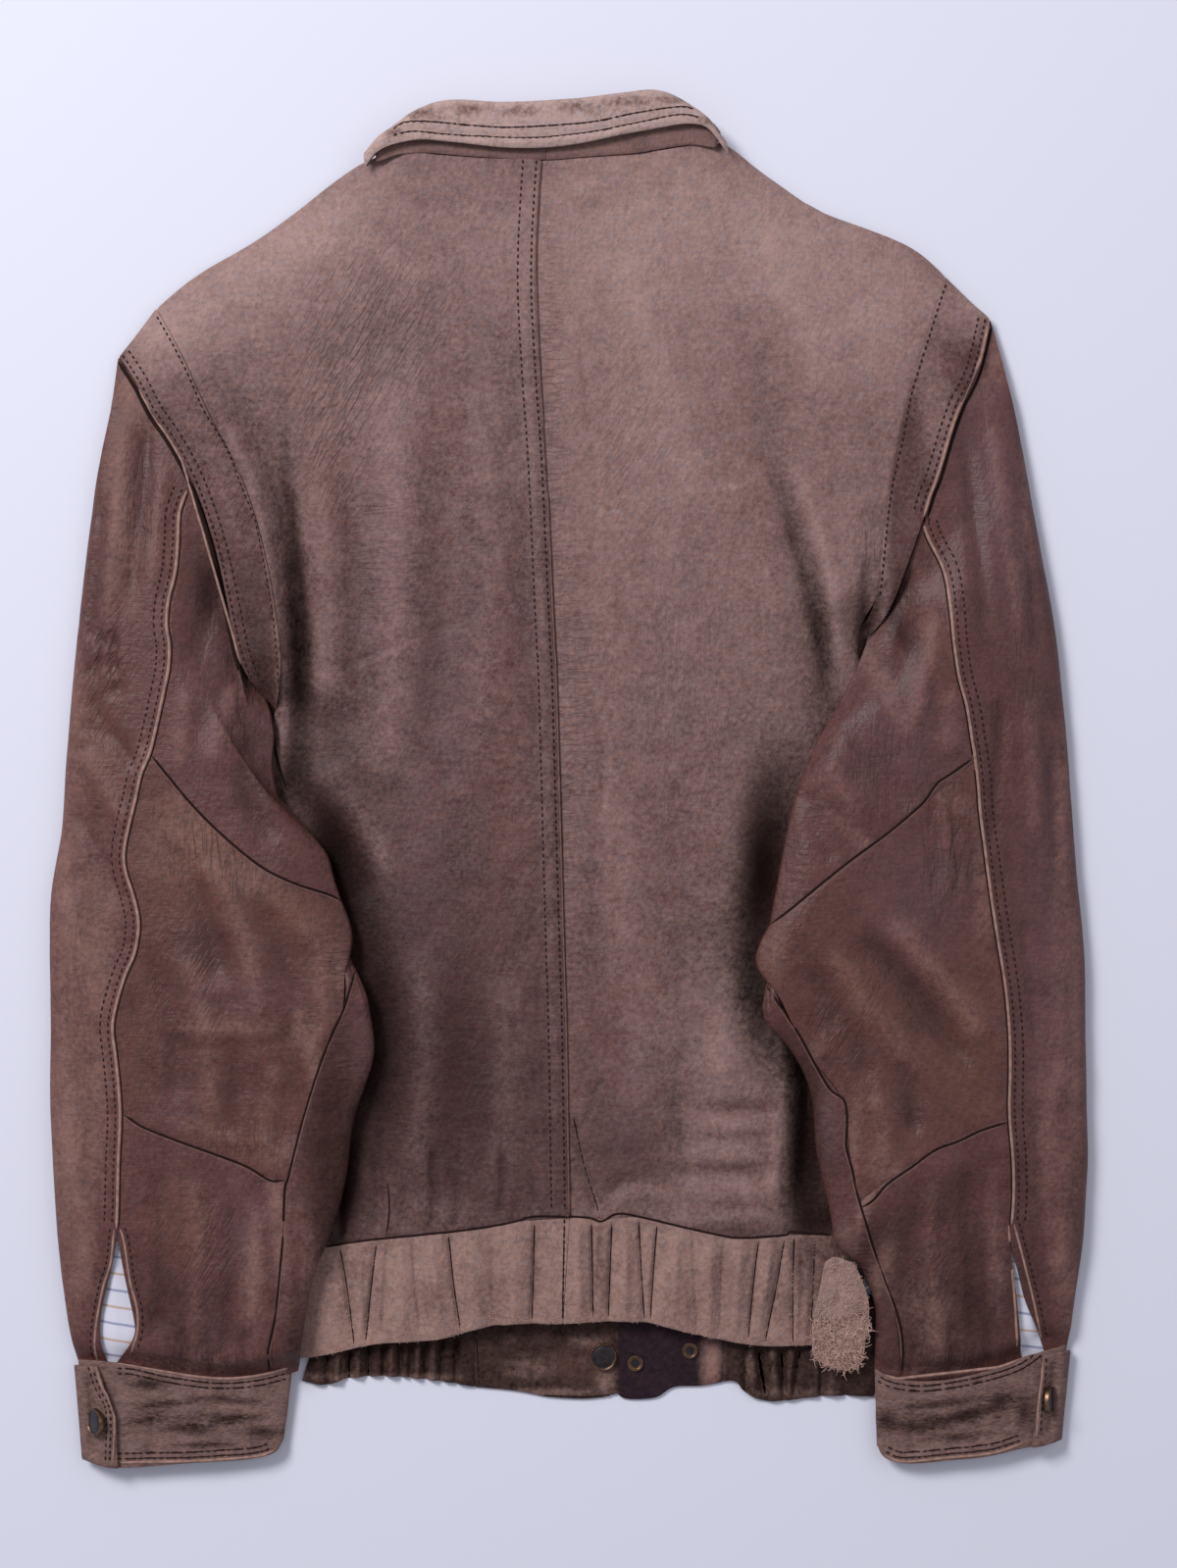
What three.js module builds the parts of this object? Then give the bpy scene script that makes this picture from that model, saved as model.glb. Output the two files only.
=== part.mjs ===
// A worn leather jacket laid flat, face down: its back, collar, sleeves and waistband show from above.
// Millimetres, +Y towards the collar, +Z up, resting on z = 0.
import * as THREE from "three";

// Cloth and seams
const WALL = 1.4;
const SEAM_INSET = 0.22;
const LAP_RISE = 1.2;

// The plan drawing: units of 0.556 mm, measured from its left and top edges
const PLAN_UNIT = 0.556;
const PLAN_MIDDLE_X = 581;
const PLAN_MIDDLE_Y = 796.5;

// Heights of the layers
const BACK_CROWN = 14;
const BACK_EDGE = 3.4;
const HEM_EDGE = 8;
const SIDE_RAMP = 70;
const SHOULDER_RAMP = 34;
const SLEEVE_CLEARANCE = 2.6;
const SLEEVE_RAMP = 20;
const SLEEVE_EDGE = 6.5;
const SLEEVE_CREST = 13;
const CUFF_EDGE = 5.5;
const CUFF_CREST = 5;

// Where a section of a sleeve is cut: 0 outer edge, 1 inner edge, 2 outer edge again underneath
const LAPPED_SEAM = 0.4;
const UNDER_SEAM = 1.5;
const WRAPPED_SEAM = 1.07;

// Sleeve rows: three stretches, from armhole to upper seam, to lower seam, to cuff
const UPPER_ROWS = 6;
const ELBOW_ROWS = 8;
const FOREARM_ROWS = 7;

// Press studs
const STUD_RADIUS = 7.5;
const RING_STUD_RADIUS = 4.4;
const STUD_HEIGHT = 2.6;

// Finishes
function finish(color, roughness, metalness = 0) {
  return new THREE.MeshStandardMaterial({ color, roughness, metalness });
}
const backLeather = finish(0x7d6257, 0.6);
const sleeveLeather = finish(0x624638, 0.55);
const elbowLeather = finish(0x684433, 0.55);
const suede = finish(0xa88c7c, 0.9);
const bandSuede = finish(0x947a6c, 0.85);
const innerLeather = finish(0x4b3a33, 0.7);
const darkLeather = finish(0x352a30, 0.6);
const liningCloth = finish(0xd9d6e2, 0.9);
const bronze = finish(0xa0764f, 0.35, 1);

const jacket = new THREE.Group();

// Small helpers
function plan(x, y) {
  return new THREE.Vector3((x - PLAN_MIDDLE_X) * PLAN_UNIT, (PLAN_MIDDLE_Y - y) * PLAN_UNIT, 0);
}

function planCurve(points) {
  return new THREE.CatmullRomCurve3(points.map(([x, y]) => plan(x, y)), false, "centripetal");
}

function smooth(from, to, value) {
  return THREE.MathUtils.smoothstep(value, from, to);
}

function mix(a, b, share) {
  return a + (b - a) * share;
}

// The value at a place on a broken line of pairs [place, value]
function broken(pairs, place) {
  const last = pairs.length - 1;
  if (place <= pairs[0][0]) return pairs[0][1];
  for (let i = 0; i < last; i++) {
    const [a, va] = pairs[i];
    const [b, vb] = pairs[i + 1];
    if (place <= b) return mix(va, vb, (place - a) / (b - a));
  }
  return pairs[last][1];
}

// A broken plan line as a function of the drawing's y
function lineByY(points) {
  const pairs = points.map(([x, y]) => [y, x]);
  return (y) => plan(broken(pairs, y), y);
}

// Distance in plan from a point to a broken line of plan points
function distanceTo(points, p) {
  const near = new THREE.Vector3();
  const flat = new THREE.Vector3(p.x, p.y, 0);
  let best = Infinity;
  for (let i = 0; i + 1 < points.length; i++) {
    const piece = new THREE.Line3(points[i], points[i + 1]);
    piece.closestPointToPoint(flat, true, near);
    best = Math.min(best, near.distanceTo(flat));
  }
  return best;
}

// A fold along a plan line: positive height for a ridge, negative for a valley, fading at both ends
function fold(points, height, width) {
  const line = points.map(([x, y]) => plan(x, y));
  return (p) => height * Math.exp(-((distanceTo(line, p) / width) ** 2));
}

// A closed wall between two grids of points, rows by columns; a ring closes on itself along each row
function addWall(name, material, outer, inner, ring = false) {
  const rows = outer.length;
  const columns = outer[0].length;
  const points = [...outer.flat(), ...inner.flat()];
  const at = (side, j, i) => side * rows * columns + j * columns + (i % columns);
  const index = [];
  const quad = (a, b, c, d) => index.push(a, b, c, a, c, d);
  const last = columns - 1;
  const cells = ring ? columns : last;
  for (let j = 0; j + 1 < rows; j++) {
    for (let i = 0; i < cells; i++) {
      quad(at(0, j, i), at(0, j + 1, i), at(0, j + 1, i + 1), at(0, j, i + 1));
      quad(at(1, j, i), at(1, j, i + 1), at(1, j + 1, i + 1), at(1, j + 1, i));
    }
  }
  for (let i = 0; i < cells; i++) {
    quad(at(0, 0, i), at(0, 0, i + 1), at(1, 0, i + 1), at(1, 0, i));
    quad(at(1, rows - 1, i + 1), at(0, rows - 1, i + 1), at(0, rows - 1, i), at(1, rows - 1, i));
  }
  for (let j = 0; j + 1 < rows && !ring; j++) {
    quad(at(1, j + 1, 0), at(0, j + 1, 0), at(0, j, 0), at(1, j, 0));
    quad(at(0, j, last), at(0, j + 1, last), at(1, j + 1, last), at(1, j, last));
  }
  let volume = 0;
  for (let k = 0; k < index.length; k += 3) {
    const [a, b, c] = [points[index[k]], points[index[k + 1]], points[index[k + 2]]];
    volume += a.dot(new THREE.Vector3().crossVectors(b, c));
  }
  if (volume < 0) index.reverse();
  const geometry = new THREE.BufferGeometry().setFromPoints(points).setIndex(index);
  geometry.computeVertexNormals();
  const mesh = new THREE.Mesh(geometry, material);
  mesh.name = name;
  jacket.add(mesh);
  return mesh;
}

// Moves the border points of a grid in by the seam inset, so that neighbours stay apart
function insetGrid(grid) {
  const rows = grid.length;
  const columns = grid[0].length;
  const towards = (a, b) => a.clone().add(b.clone().sub(a).setLength(SEAM_INSET));
  const inset = grid.map((row) => row.map((p) => p.clone()));
  for (let j = 0; j < rows; j++) {
    inset[j][0] = towards(inset[j][0], grid[j][1]);
    inset[j][columns - 1] = towards(inset[j][columns - 1], grid[j][columns - 2]);
  }
  for (let i = 0; i < columns; i++) {
    inset[0][i] = towards(inset[0][i], inset[1][i]);
    inset[rows - 1][i] = towards(inset[rows - 1][i], inset[rows - 2][i]);
  }
  return inset;
}

// Even steps from 0 to 1
function steps(count) {
  return Array.from({ length: count + 1 }, (_, i) => i / count);
}

// A grid of plan points between four border curves, each a list of points
function patch(top, bottom, left, right) {
  const rows = left.length - 1;
  const columns = top.length - 1;
  return left.map((leftPoint, j) => {
    const v = j / rows;
    return top.map((topPoint, i) => {
      const u = i / columns;
      const across = leftPoint.clone().lerp(right[j], u);
      const down = topPoint.clone().lerp(bottom[i], v);
      const topLine = left[0].clone().lerp(right[0], u);
      const bottomLine = left[rows].clone().lerp(right[rows], u);
      return across.add(down).sub(topLine.lerp(bottomLine, v));
    });
  });
}

function samples(curve, count) {
  return steps(count).map((u) => curve.getPointAt(u));
}

// A panel over a plan grid: its upper face at the height given, its wall hanging straight down from it
function addPanel(name, material, grid, heightAt, wall = WALL) {
  const upper = insetGrid(grid).map((row, j) =>
    row.map((p, i) => new THREE.Vector3(p.x, p.y, heightAt(p, i / (row.length - 1), j / (grid.length - 1)))),
  );
  const lower = upper.map((row) => row.map((p) => p.clone().setZ(p.z - wall)));
  return addWall(name, material, upper, lower);
}

// Border lines of the body in the plan drawing
const SHOULDER_HEIGHT = [
  [118, 372], [158, 314], [198, 280], [250, 250], [300, 215], [345, 180], [372, 165], [400, 20],
  [715, 20],
  [742, 145], [780, 175], [830, 210], [880, 230], [931, 251], [965, 279], [1012, 330],
];
// Side edges of the body, hidden under the sleeves from the armhole down to the hem
const LEFT_SIDE = [[281, 722], [267, 762], [268, 805], [280, 900], [296, 1050], [312, 1180], [327, 1273]];
const RIGHT_SIDE = [[877, 646], [888, 690], [897, 730], [892, 800], [884, 900], [870, 1050], [856, 1180],
  [850, 1262]];
const byY = (points) => points.map(([x, y]) => [y, x]);
const LEFT_HEM_END = [300, 1390];
const RIGHT_HEM_END = [835, 1380];

// Above the armhole's lower end the back runs on into the sleeve, and no body lies under the sleeve
const backEdges = [
  byY([[60, 640], [190, 690], ...LEFT_SIDE, LEFT_HEM_END]),
  byY([[1080, 540], [985, 605], ...RIGHT_SIDE, RIGHT_HEM_END]),
];
const coveredEdges = [
  byY([[400, 700], ...LEFT_SIDE, LEFT_HEM_END]),
  byY([[760, 626], ...RIGHT_SIDE, RIGHT_HEM_END]),
];

const bodyFolds = [
  fold([[214, 400], [234, 420], [262, 470], [276, 530], [288, 620], [291, 690], [288, 740]], 3.4, 7),
  fold([[226, 385], [251, 416], [273, 459], [286, 501], [298, 559], [305, 623], [308, 690],
    [304, 740]], -5, 8),
  fold([[788, 471], [804, 517], [823, 578], [836, 636], [844, 682], [842, 725]], -4.2, 11),
  fold([[871, 500], [869, 567], [865, 625], [868, 680]], 3.2, 9),
  fold([[600, 520], [640, 640], [690, 760]], -1.4, 22),
  fold([[440, 380], [430, 520], [425, 680]], 1.4, 20),
];

// How far a plan point lies inside the left and right sides, in millimetres
function insideSides(p, [leftEdge, rightEdge]) {
  const x = p.x / PLAN_UNIT + PLAN_MIDDLE_X;
  const y = PLAN_MIDDLE_Y - p.y / PLAN_UNIT;
  const left = (x - broken(leftEdge, y)) * PLAN_UNIT;
  const right = (broken(rightEdge, y) - x) * PLAN_UNIT;
  return Math.min(left, right);
}

// Height of the back from its side edge inwards, higher at the edge towards the hem
function marginHeight(p, rise) {
  const y = PLAN_MIDDLE_Y - p.y / PLAN_UNIT;
  return mix(mix(BACK_EDGE, HEM_EDGE, smooth(1120, 1262, y)), BACK_CROWN, rise);
}

// Upper face of the body's back over the whole plan
function bodyTop(p) {
  const x = p.x / PLAN_UNIT + PLAN_MIDDLE_X;
  const y = PLAN_MIDDLE_Y - p.y / PLAN_UNIT;
  const below = (y - broken(SHOULDER_HEIGHT, x)) * PLAN_UNIT;
  const rise = smooth(0, SIDE_RAMP, insideSides(p, backEdges)) * mix(0.2, 1, smooth(0, SHOULDER_RAMP, below));
  return marginHeight(p, rise) + bodyFolds.reduce((sum, shape) => sum + shape(p) * rise, 0);
}

// What a sleeve's underside lies on: the surface beside the body, or the back's margin
function underSleeve(p) {
  const inside = insideSides(p, coveredEdges);
  const margin = marginHeight(p, smooth(0, SIDE_RAMP, inside)) + SLEEVE_CLEARANCE;
  return inside > 0 ? margin : margin * smooth(-SLEEVE_RAMP, 0, inside);
}

// Back panels and armhole strips
const ARMHOLE_ROWS = 10;
const SIDE_ROWS = 12;
const BACK_COLUMNS = 12;

const leftArmholeEdge = planCurve([[118, 363], [137, 391], [153, 421], [184, 469], [207, 523], [224, 584],
  [234, 635], [249, 690], [271, 714]]);
const leftStripSeam = planCurve([[158, 314], [180, 351], [212, 419], [251, 498], [273, 573],
  [282, 623], [288, 680],
  [287, 706], [281, 722]]);
const rightArmholeEdge = planCurve([[1012, 325], [998, 378], [981, 413], [963, 467], [950, 505],
  [937, 545],
  [922, 588], [906, 628], [886, 652]]);
const rightStripSeam = planCurve([[965, 281], [946, 336], [925, 405], [908, 486], [898, 567],
  [893, 612], [887, 634],
  [877, 646]]);
const centreSeam = planCurve([[552, 165], [547, 255], [552, 396], [562, 571], [568, 697],
  [575, 950], [581, 1239]]);
const leftNeck = planCurve([[378, 162], [399, 156], [437, 158], [487, 162], [552, 165]]);
const rightNeck = planCurve([[552, 165], [599, 162], [649, 158], [693, 151], [735, 146]]);
const leftShoulder = planCurve([[158, 314], [198, 280], [250, 250], [300, 215], [345, 180], [378, 162]]);
const rightShoulder = planCurve([[735, 146], [780, 175], [830, 210], [880, 230], [931, 251], [965, 281]]);
const leftWaist = planCurve([[327, 1273], [363, 1267], [447, 1257], [522, 1246], [581, 1239]]);
const rightWaist = planCurve([[581, 1239], [613, 1243], [655, 1241], [738, 1260], [801, 1260],
  [850, 1262]]);
const leftBodySide = planCurve(LEFT_SIDE);
const rightBodySide = planCurve(RIGHT_SIDE);

const SHOULDER_COLUMNS = 7;
const NECK_COLUMNS = BACK_COLUMNS - SHOULDER_COLUMNS;
const joined = (first, second) => [...first, ...second.slice(1)];
const leftBackEdge = joined(samples(leftStripSeam, ARMHOLE_ROWS), samples(leftBodySide, SIDE_ROWS));
const rightBackEdge = joined(samples(rightStripSeam, ARMHOLE_ROWS), samples(rightBodySide, SIDE_ROWS));
const centreEdge = samples(centreSeam, ARMHOLE_ROWS + SIDE_ROWS);
const leftBackTop = joined(samples(leftShoulder, SHOULDER_COLUMNS), samples(leftNeck, NECK_COLUMNS));
const rightBackTop = joined(samples(rightNeck, NECK_COLUMNS), samples(rightShoulder, SHOULDER_COLUMNS));

const leftBackGrid = patch(leftBackTop, samples(leftWaist, BACK_COLUMNS), leftBackEdge, centreEdge);
const rightBackGrid = patch(rightBackTop, samples(rightWaist, BACK_COLUMNS), centreEdge, rightBackEdge);
addPanel("back_left", backLeather, leftBackGrid, (p, u) => bodyTop(p) + LAP_RISE * smooth(0.8, 1, u));
addPanel("back_right", backLeather, rightBackGrid, (p) => bodyTop(p));

// Sleeve outlines and seams in the plan drawing, from the armhole down
const LEFT_SLEEVE = {
  outer: [[118, 363], [114, 405], [101, 462], [92, 523], [85, 576], [73, 691], [65, 790], [61, 851],
    [51, 904],
    [49, 956], [50, 1056], [49, 1113], [51, 1170], [56, 1256], [61, 1304], [70, 1361], [78, 1390]],
  lapped: [[194, 497], [185, 523], [182, 584], [175, 625], [176, 684], [164, 741], [148, 791], [132, 861],
    [133, 890], [145, 935], [142, 970], [123, 1023], [119, 1047], [125, 1104], [127, 1137], [125, 1185],
    [123, 1251], [121, 1300], [120, 1356], [118, 1392]],
  inner: [[271, 714], [279, 738], [280, 759], [276, 800], [287, 820], [316, 847], [335, 875],
    [347, 913], [359, 942], [366, 989], [378, 1032], [386, 1060], [375, 1099], [359, 1151], [356, 1185],
    [347, 1232], [335, 1266], [325, 1285], [316, 1318], [303, 1382]],
  innerSeam: [[366, 989], [354, 1023], [339, 1056], [325, 1094], [313, 1132], [304, 1166], [296, 1199],
    [291, 1256], [287, 1299], [282, 1342], [274, 1399]],
  outerStations: [363, 690, 1115, 1390],
  lappedStations: [497, 771, 1135, 1392],
  innerStations: [714, 919, 1222, 1382],
  bow: [0, 15, 2, 8],
  armhole: leftArmholeEdge,
  armholeSeamShare: 0.41,
  slitHalfWidth: [[1251, 0], [1285, 3], [1313, 7], [1356, 11], [1392, 6]],
};
const RIGHT_SLEEVE = {
  outer: [[1012, 325], [1023, 371], [1033, 401], [1040, 436], [1058, 536], [1077, 640], [1088, 740],
    [1095, 837],
    [1103, 937], [1108, 970], [1108, 1047], [1111, 1185], [1106, 1270], [1095, 1342], [1090, 1372]],
  lapped: [[941, 534], [946, 551], [958, 575], [966, 625], [973, 690], [986, 751], [993, 801],
    [1000, 866],
    [1014, 961], [1025, 1047], [1025, 1132], [1029, 1185], [1028, 1247], [1040, 1297], [1047, 1337],
    [1056, 1378]],
  inner: [[886, 652], [877, 680], [861, 707], [846, 728], [821, 782], [808, 813], [797, 870], [783, 943],
    [771, 970], [767, 989], [771, 1009], [798, 1061], [817, 1089], [829, 1123], [829, 1161], [838, 1199],
    [852, 1270], [871, 1285], [883, 1304], [893, 1332], [893, 1397]],
  innerSeam: [[769, 990], [793, 1023], [829, 1082], [859, 1120], [862, 1142], [861, 1166], [871, 1209],
    [888, 1266], [902, 1304], [914, 1337], [921, 1404]],
  outerStations: [325, 700, 1110, 1372],
  lappedStations: [534, 778, 1138, 1378],
  innerStations: [652, 943, 1246, 1397],
  bow: [0, 1, -8, 8],
  armhole: rightArmholeEdge,
  armholeSeamShare: 0.62,
  slitHalfWidth: [[1247, 0], [1256, 3], [1299, 4.5], [1337, 5], [1378, 7]],
};
const LAST_STATION = 3;
const STATIONS = [0, 1, 2, LAST_STATION];
const FOREARM_FLATTENS = 2.4;
const SLEEVE_LEAVES_BODY = 0.5;
const ARMHOLE_STEP = 0.6;
const THINNEST_EDGE = 3.6;
const LAP_REACH = 0.12;
const LAP_FLAT = 0.01;
const TINY = 1e-6;

// Section of a sleeve's top and underside: the higher the power, the flatter the middle
const CREST_POWER = 2.6;
const UNDERSIDE_POWER = 8;
const rounded = (share, power) => Math.sqrt(1 - Math.abs(2 * share - 1) ** power);
const pairUp = (values) => STATIONS.map((station, i) => [station, values[i]]);

// The surface of a sleeve: a point at a station down it (0 to 3) and a place round it (0 to 2)
function sleeveSurface(cut) {
  const lines = [lineByY(cut.outer), lineByY(cut.lapped), lineByY(cut.inner)];
  const heights = [cut.outerStations, cut.lappedStations, cut.innerStations].map(pairUp);
  const armholeShare = (t) =>
    t < LAPPED_SEAM
      ? (t / LAPPED_SEAM) * cut.armholeSeamShare
      : mix(cut.armholeSeamShare, 1, (t - LAPPED_SEAM) / (1 - LAPPED_SEAM));
  const section = (s) => lines.map((line, i) => line(broken(heights[i], s)));

  function topPlan(s, t) {
    const [outer, lapped, inner] = section(s);
    const onOuter = t < LAPPED_SEAM;
    const share = onOuter ? t / LAPPED_SEAM : (t - LAPPED_SEAM) / (1 - LAPPED_SEAM);
    const p = onOuter ? outer.lerp(lapped, share) : lapped.lerp(inner, share);
    if (!onOuter) p.y -= broken(pairUp(cut.bow), s) * 4 * share * (1 - share);
    return p;
  }
  function topPoint(s, t) {
    const p = topPlan(s, t);
    const fade = (1 - smooth(0, 1, s)) ** 2;
    if (fade > 0) p.add(cut.armhole.getPointAt(armholeShare(t)).sub(topPlan(0, t)).multiplyScalar(fade));
    return p;
  }
  const lifted = (s, p) => underSleeve(p) * smooth(0, 0.1, s);
  const nearBody = (s) => 1 - smooth(0, SLEEVE_LEAVES_BODY, s);
  function edgeHeight(s, p) {
    const floor = lifted(s, p);
    return Math.max(mix(floor + SLEEVE_EDGE, bodyTop(p) - ARMHOLE_STEP, nearBody(s)), floor + THINNEST_EDGE);
  }
  function across(s, t) {
    const [outer, lapped, inner] = section(s);
    const first = outer.distanceTo(lapped);
    const second = lapped.distanceTo(inner);
    const beyond = (t - LAPPED_SEAM) / (1 - LAPPED_SEAM);
    const run = t < LAPPED_SEAM ? (first * t) / LAPPED_SEAM : mix(first, first + second, beyond);
    return run / (first + second);
  }
  function surface(s, place) {
    const t = place < 0 ? place + 2 : place;
    const outerEdge = topPoint(s, 0);
    const innerEdge = topPoint(s, 1);
    const zOuter = edgeHeight(s, outerEdge);
    const zInner = edgeHeight(s, innerEdge);
    if (t <= 1) {
      const p = topPoint(s, t);
      const w = across(s, t);
      const edge = mix(zOuter, zInner, w);
      const crest = SLEEVE_CREST * (1 - 0.5 * smooth(FOREARM_FLATTENS, LAST_STATION, s));
      const inside = mix(edge + crest, Math.max(bodyTop(p) - ARMHOLE_STEP, edge), nearBody(s));
      const onOuter = t < LAPPED_SEAM + TINY;
      const lap = onOuter ? LAP_RISE * smooth(LAPPED_SEAM - LAP_REACH, LAPPED_SEAM - LAP_FLAT, t) : 0;
      p.z = mix(edge, inside, rounded(w, CREST_POWER)) + lap * smooth(0, 0.2, s);
      return p;
    }
    const w = 2 - t;
    const p = innerEdge.clone().lerp(outerEdge, t - 1);
    p.lerp(topPoint(s, w), 1 - smooth(0, 1, s));
    const floor = lifted(s, p);
    const edge = w < 0.5 ? zOuter : zInner;
    p.z = mix(edge, floor, rounded(w, UNDERSIDE_POWER));
    return p;
  }
  surface.end = LAST_STATION;
  return surface;
}

// Outward direction of a surface of two numbers, measured over short steps down and round it
const STEP_DOWN = 0.03;
const STEP_ROUND = 0.012;

function outward(surface, s, t, turn) {
  const along = surface(Math.min(s + STEP_DOWN, surface.end), t).sub(surface(Math.max(s - STEP_DOWN, 0), t));
  const round = surface(s, t + STEP_ROUND).sub(surface(s, t - STEP_ROUND));
  return round.cross(along).multiplyScalar(turn).normalize();
}

// A wall on a surface: each row is a station with its list of places round; depths are measured inwards
function addSurfaceWall(name, material, surface, rows, turn, depths, ring = false) {
  const skin = rows.map(({ s, places }) => places.map((t) => surface(s, t)));
  const outwardAt = rows.map(({ s, places }) => places.map((t) => outward(surface, s, t, turn)));
  const grid = ring ? skin : insetGrid(skin);
  const shiftedPoint = (p, j, i, depth) => p.clone().addScaledVector(outwardAt[j][i], -depth);
  const shifted = (depth) => grid.map((row, j) => row.map((p, i) => shiftedPoint(p, j, i, depth)));
  const raised = (p) => p.setZ(Math.max(p.z, 0));
  const keepAboveFloor = (rowsOfPoints) => rowsOfPoints.map((row) => row.map(raised));
  return addWall(name, material, keepAboveFloor(shifted(depths[0])), shifted(depths[1]), ring);
}

const SEAM_START = 0.05;
const HALVINGS = 30;
const LAST_ON_TOP = 0.965;

// Place round a sleeve where the inner seam crosses a station: on top where it shows, else wrapped under
function innerSeamPlace(cut, surface, s) {
  const seam = lineByY(cut.innerSeam);
  const starts = cut.innerSeam[0][1];
  const drawingY = (p) => PLAN_MIDDLE_Y - p.y / PLAN_UNIT;
  if (drawingY(surface(s, 1)) < starts) return WRAPPED_SEAM;
  let low = LAPPED_SEAM;
  let high = 1;
  const side = (t) => Math.sign(surface(s, t).x - seam(drawingY(surface(s, t))).x);
  const start = side(low + SEAM_START);
  for (let i = 0; i < HALVINGS; i++) {
    const middle = (low + high) / 2;
    if (side(middle) === start) low = middle;
    else high = middle;
  }
  return Math.min(low, LAST_ON_TOP);
}

const OUTER_PLACES = [0, 0.025, 0.08, 0.17, 0.28, LAPPED_SEAM];
const MIDDLE_SHARES = [0, 0.2, 0.42, 0.64, 0.84, 1];
const UNDER_PLACES = [0.34, 0.2, 0.1, 0.035];
const EDGE_SHARES = [0, 0.5, 0.85];
const UNDERARM_SHARES = [0, 0.07, 0.2, 0.45, 0.7, 1];
const LINING_SHARES = [0.42, 0.55, 0.7, 0.85, 0.99];
const LINING_REACH = [0.06, 0.035];
const LINING_DEPTHS = [WALL + 1.9, WALL + 2.9];
const SEAM_BEND = 0.03;

function addSleeve(side, cut, turn) {
  const surface = sleeveSurface(cut);
  const stationsOf = (from, count) => steps(count).map((share) => from + share);
  const upper = stationsOf(0, UPPER_ROWS);
  const elbow = stationsOf(1, ELBOW_ROWS);
  const forearm = stationsOf(2, FOREARM_ROWS);
  const whole = [...upper, ...elbow.slice(1), ...forearm.slice(1)];
  const seamAt = new Map(whole.map((s) => [s, innerSeamPlace(cut, surface, s)]));
  const lappedY = (s) => broken(pairUp(cut.lappedStations), s);
  const slit = (s) => broken(cut.slitHalfWidth, lappedY(s));
  const outerLimit = (s) => {
    const width = surface(s, 0).distanceTo(surface(s, LAPPED_SEAM));
    return LAPPED_SEAM * (1 - slit(s) / width);
  };
  const middleLimit = (s) => {
    const width = surface(s, LAPPED_SEAM).distanceTo(surface(s, 1));
    return LAPPED_SEAM + ((1 - LAPPED_SEAM) * slit(s)) / width;
  };
  const underPlaces = [1 - UNDER_SEAM, ...UNDER_PLACES.map((t) => -t)];
  const outerRows = whole.map((s) => ({
    s,
    places: [...underPlaces, ...OUTER_PLACES.map((t) => (t / LAPPED_SEAM) * outerLimit(s))],
  }));
  const middleRows = (stations) =>
    stations.map((s) => {
      const seam = seamAt.get(s);
      const bend = seam > 1 ? 1 : seam - SEAM_BEND;
      return { s, places: [...MIDDLE_SHARES.map((share) => mix(middleLimit(s), bend, share)), seam] };
    });
  const underarmRows = whole.map((s) => {
    const seam = seamAt.get(s);
    const bend = Math.max(1, seam + SEAM_BEND);
    const before = EDGE_SHARES.map((share) => mix(seam, bend, share));
    const after = UNDERARM_SHARES.map((share) => mix(bend, UNDER_SEAM, share));
    return { s, places: [...before, ...after] };
  });
  const depths = [0, WALL];
  addSurfaceWall(`sleeve_outer_${side}`, sleeveLeather, surface, outerRows, turn, depths);
  addSurfaceWall(`sleeve_upper_${side}`, sleeveLeather, surface, middleRows(upper), turn, depths);
  addSurfaceWall(`sleeve_elbow_${side}`, elbowLeather, surface, middleRows(elbow), turn, depths);
  addSurfaceWall(`sleeve_forearm_${side}`, sleeveLeather, surface, middleRows(forearm), turn, depths);
  addSurfaceWall(`sleeve_underarm_${side}`, sleeveLeather, surface, underarmRows, turn, depths);

  const liningRows = LINING_SHARES.map((share) => {
    const s = 2 + share;
    const from = outerLimit(s) - LINING_REACH[0];
    const to = middleLimit(s) + LINING_REACH[1];
    return { s, places: steps(4).map((v) => mix(from, to, v)) };
  });
  addSurfaceWall(`slit_lining_${side}`, liningCloth, surface, liningRows, turn, LINING_DEPTHS);

  const strip = [...OUTER_PLACES, ...MIDDLE_SHARES.slice(1).map((share) => mix(LAPPED_SEAM, 1, share))];
  return strip.map((t) => surface(0, t).setZ(0));
}

const leftArmholeRow = addSleeve("left", LEFT_SLEEVE, -1);
const rightArmholeRow = addSleeve("right", RIGHT_SLEEVE, 1);

// Armhole strips between the back and the sleeves, their folded edge lapped over the sleeve head
const STRIP_COLUMNS = 4;
function addStrip(name, left, right, lapOnLeft) {
  const rows = left.length - 1;
  const top = steps(STRIP_COLUMNS).map((u) => left[0].clone().lerp(right[0], u));
  const bottom = steps(STRIP_COLUMNS).map((u) => left[rows].clone().lerp(right[rows], u));
  const lapShare = (u) => (lapOnLeft ? smooth(0.6, 0, u) : smooth(0.4, 1, u));
  addPanel(name, backLeather, patch(top, bottom, left, right), (p, u) => bodyTop(p) + LAP_RISE * lapShare(u));
}
const LAP_SETBACK = 0.9;
const towards = (p, other, distance) => p.clone().add(other.clone().sub(p).setLength(distance));
const setBack = (row, other) => row.map((p, j) => towards(p, other[j], LAP_SETBACK));
const leftSeamRow = samples(leftStripSeam, ARMHOLE_ROWS);
const rightSeamRow = samples(rightStripSeam, ARMHOLE_ROWS);
addStrip("armhole_strip_left", setBack(leftArmholeRow, leftSeamRow), leftSeamRow, true);
addStrip("armhole_strip_right", rightSeamRow, setBack(rightArmholeRow, rightSeamRow), false);

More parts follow.
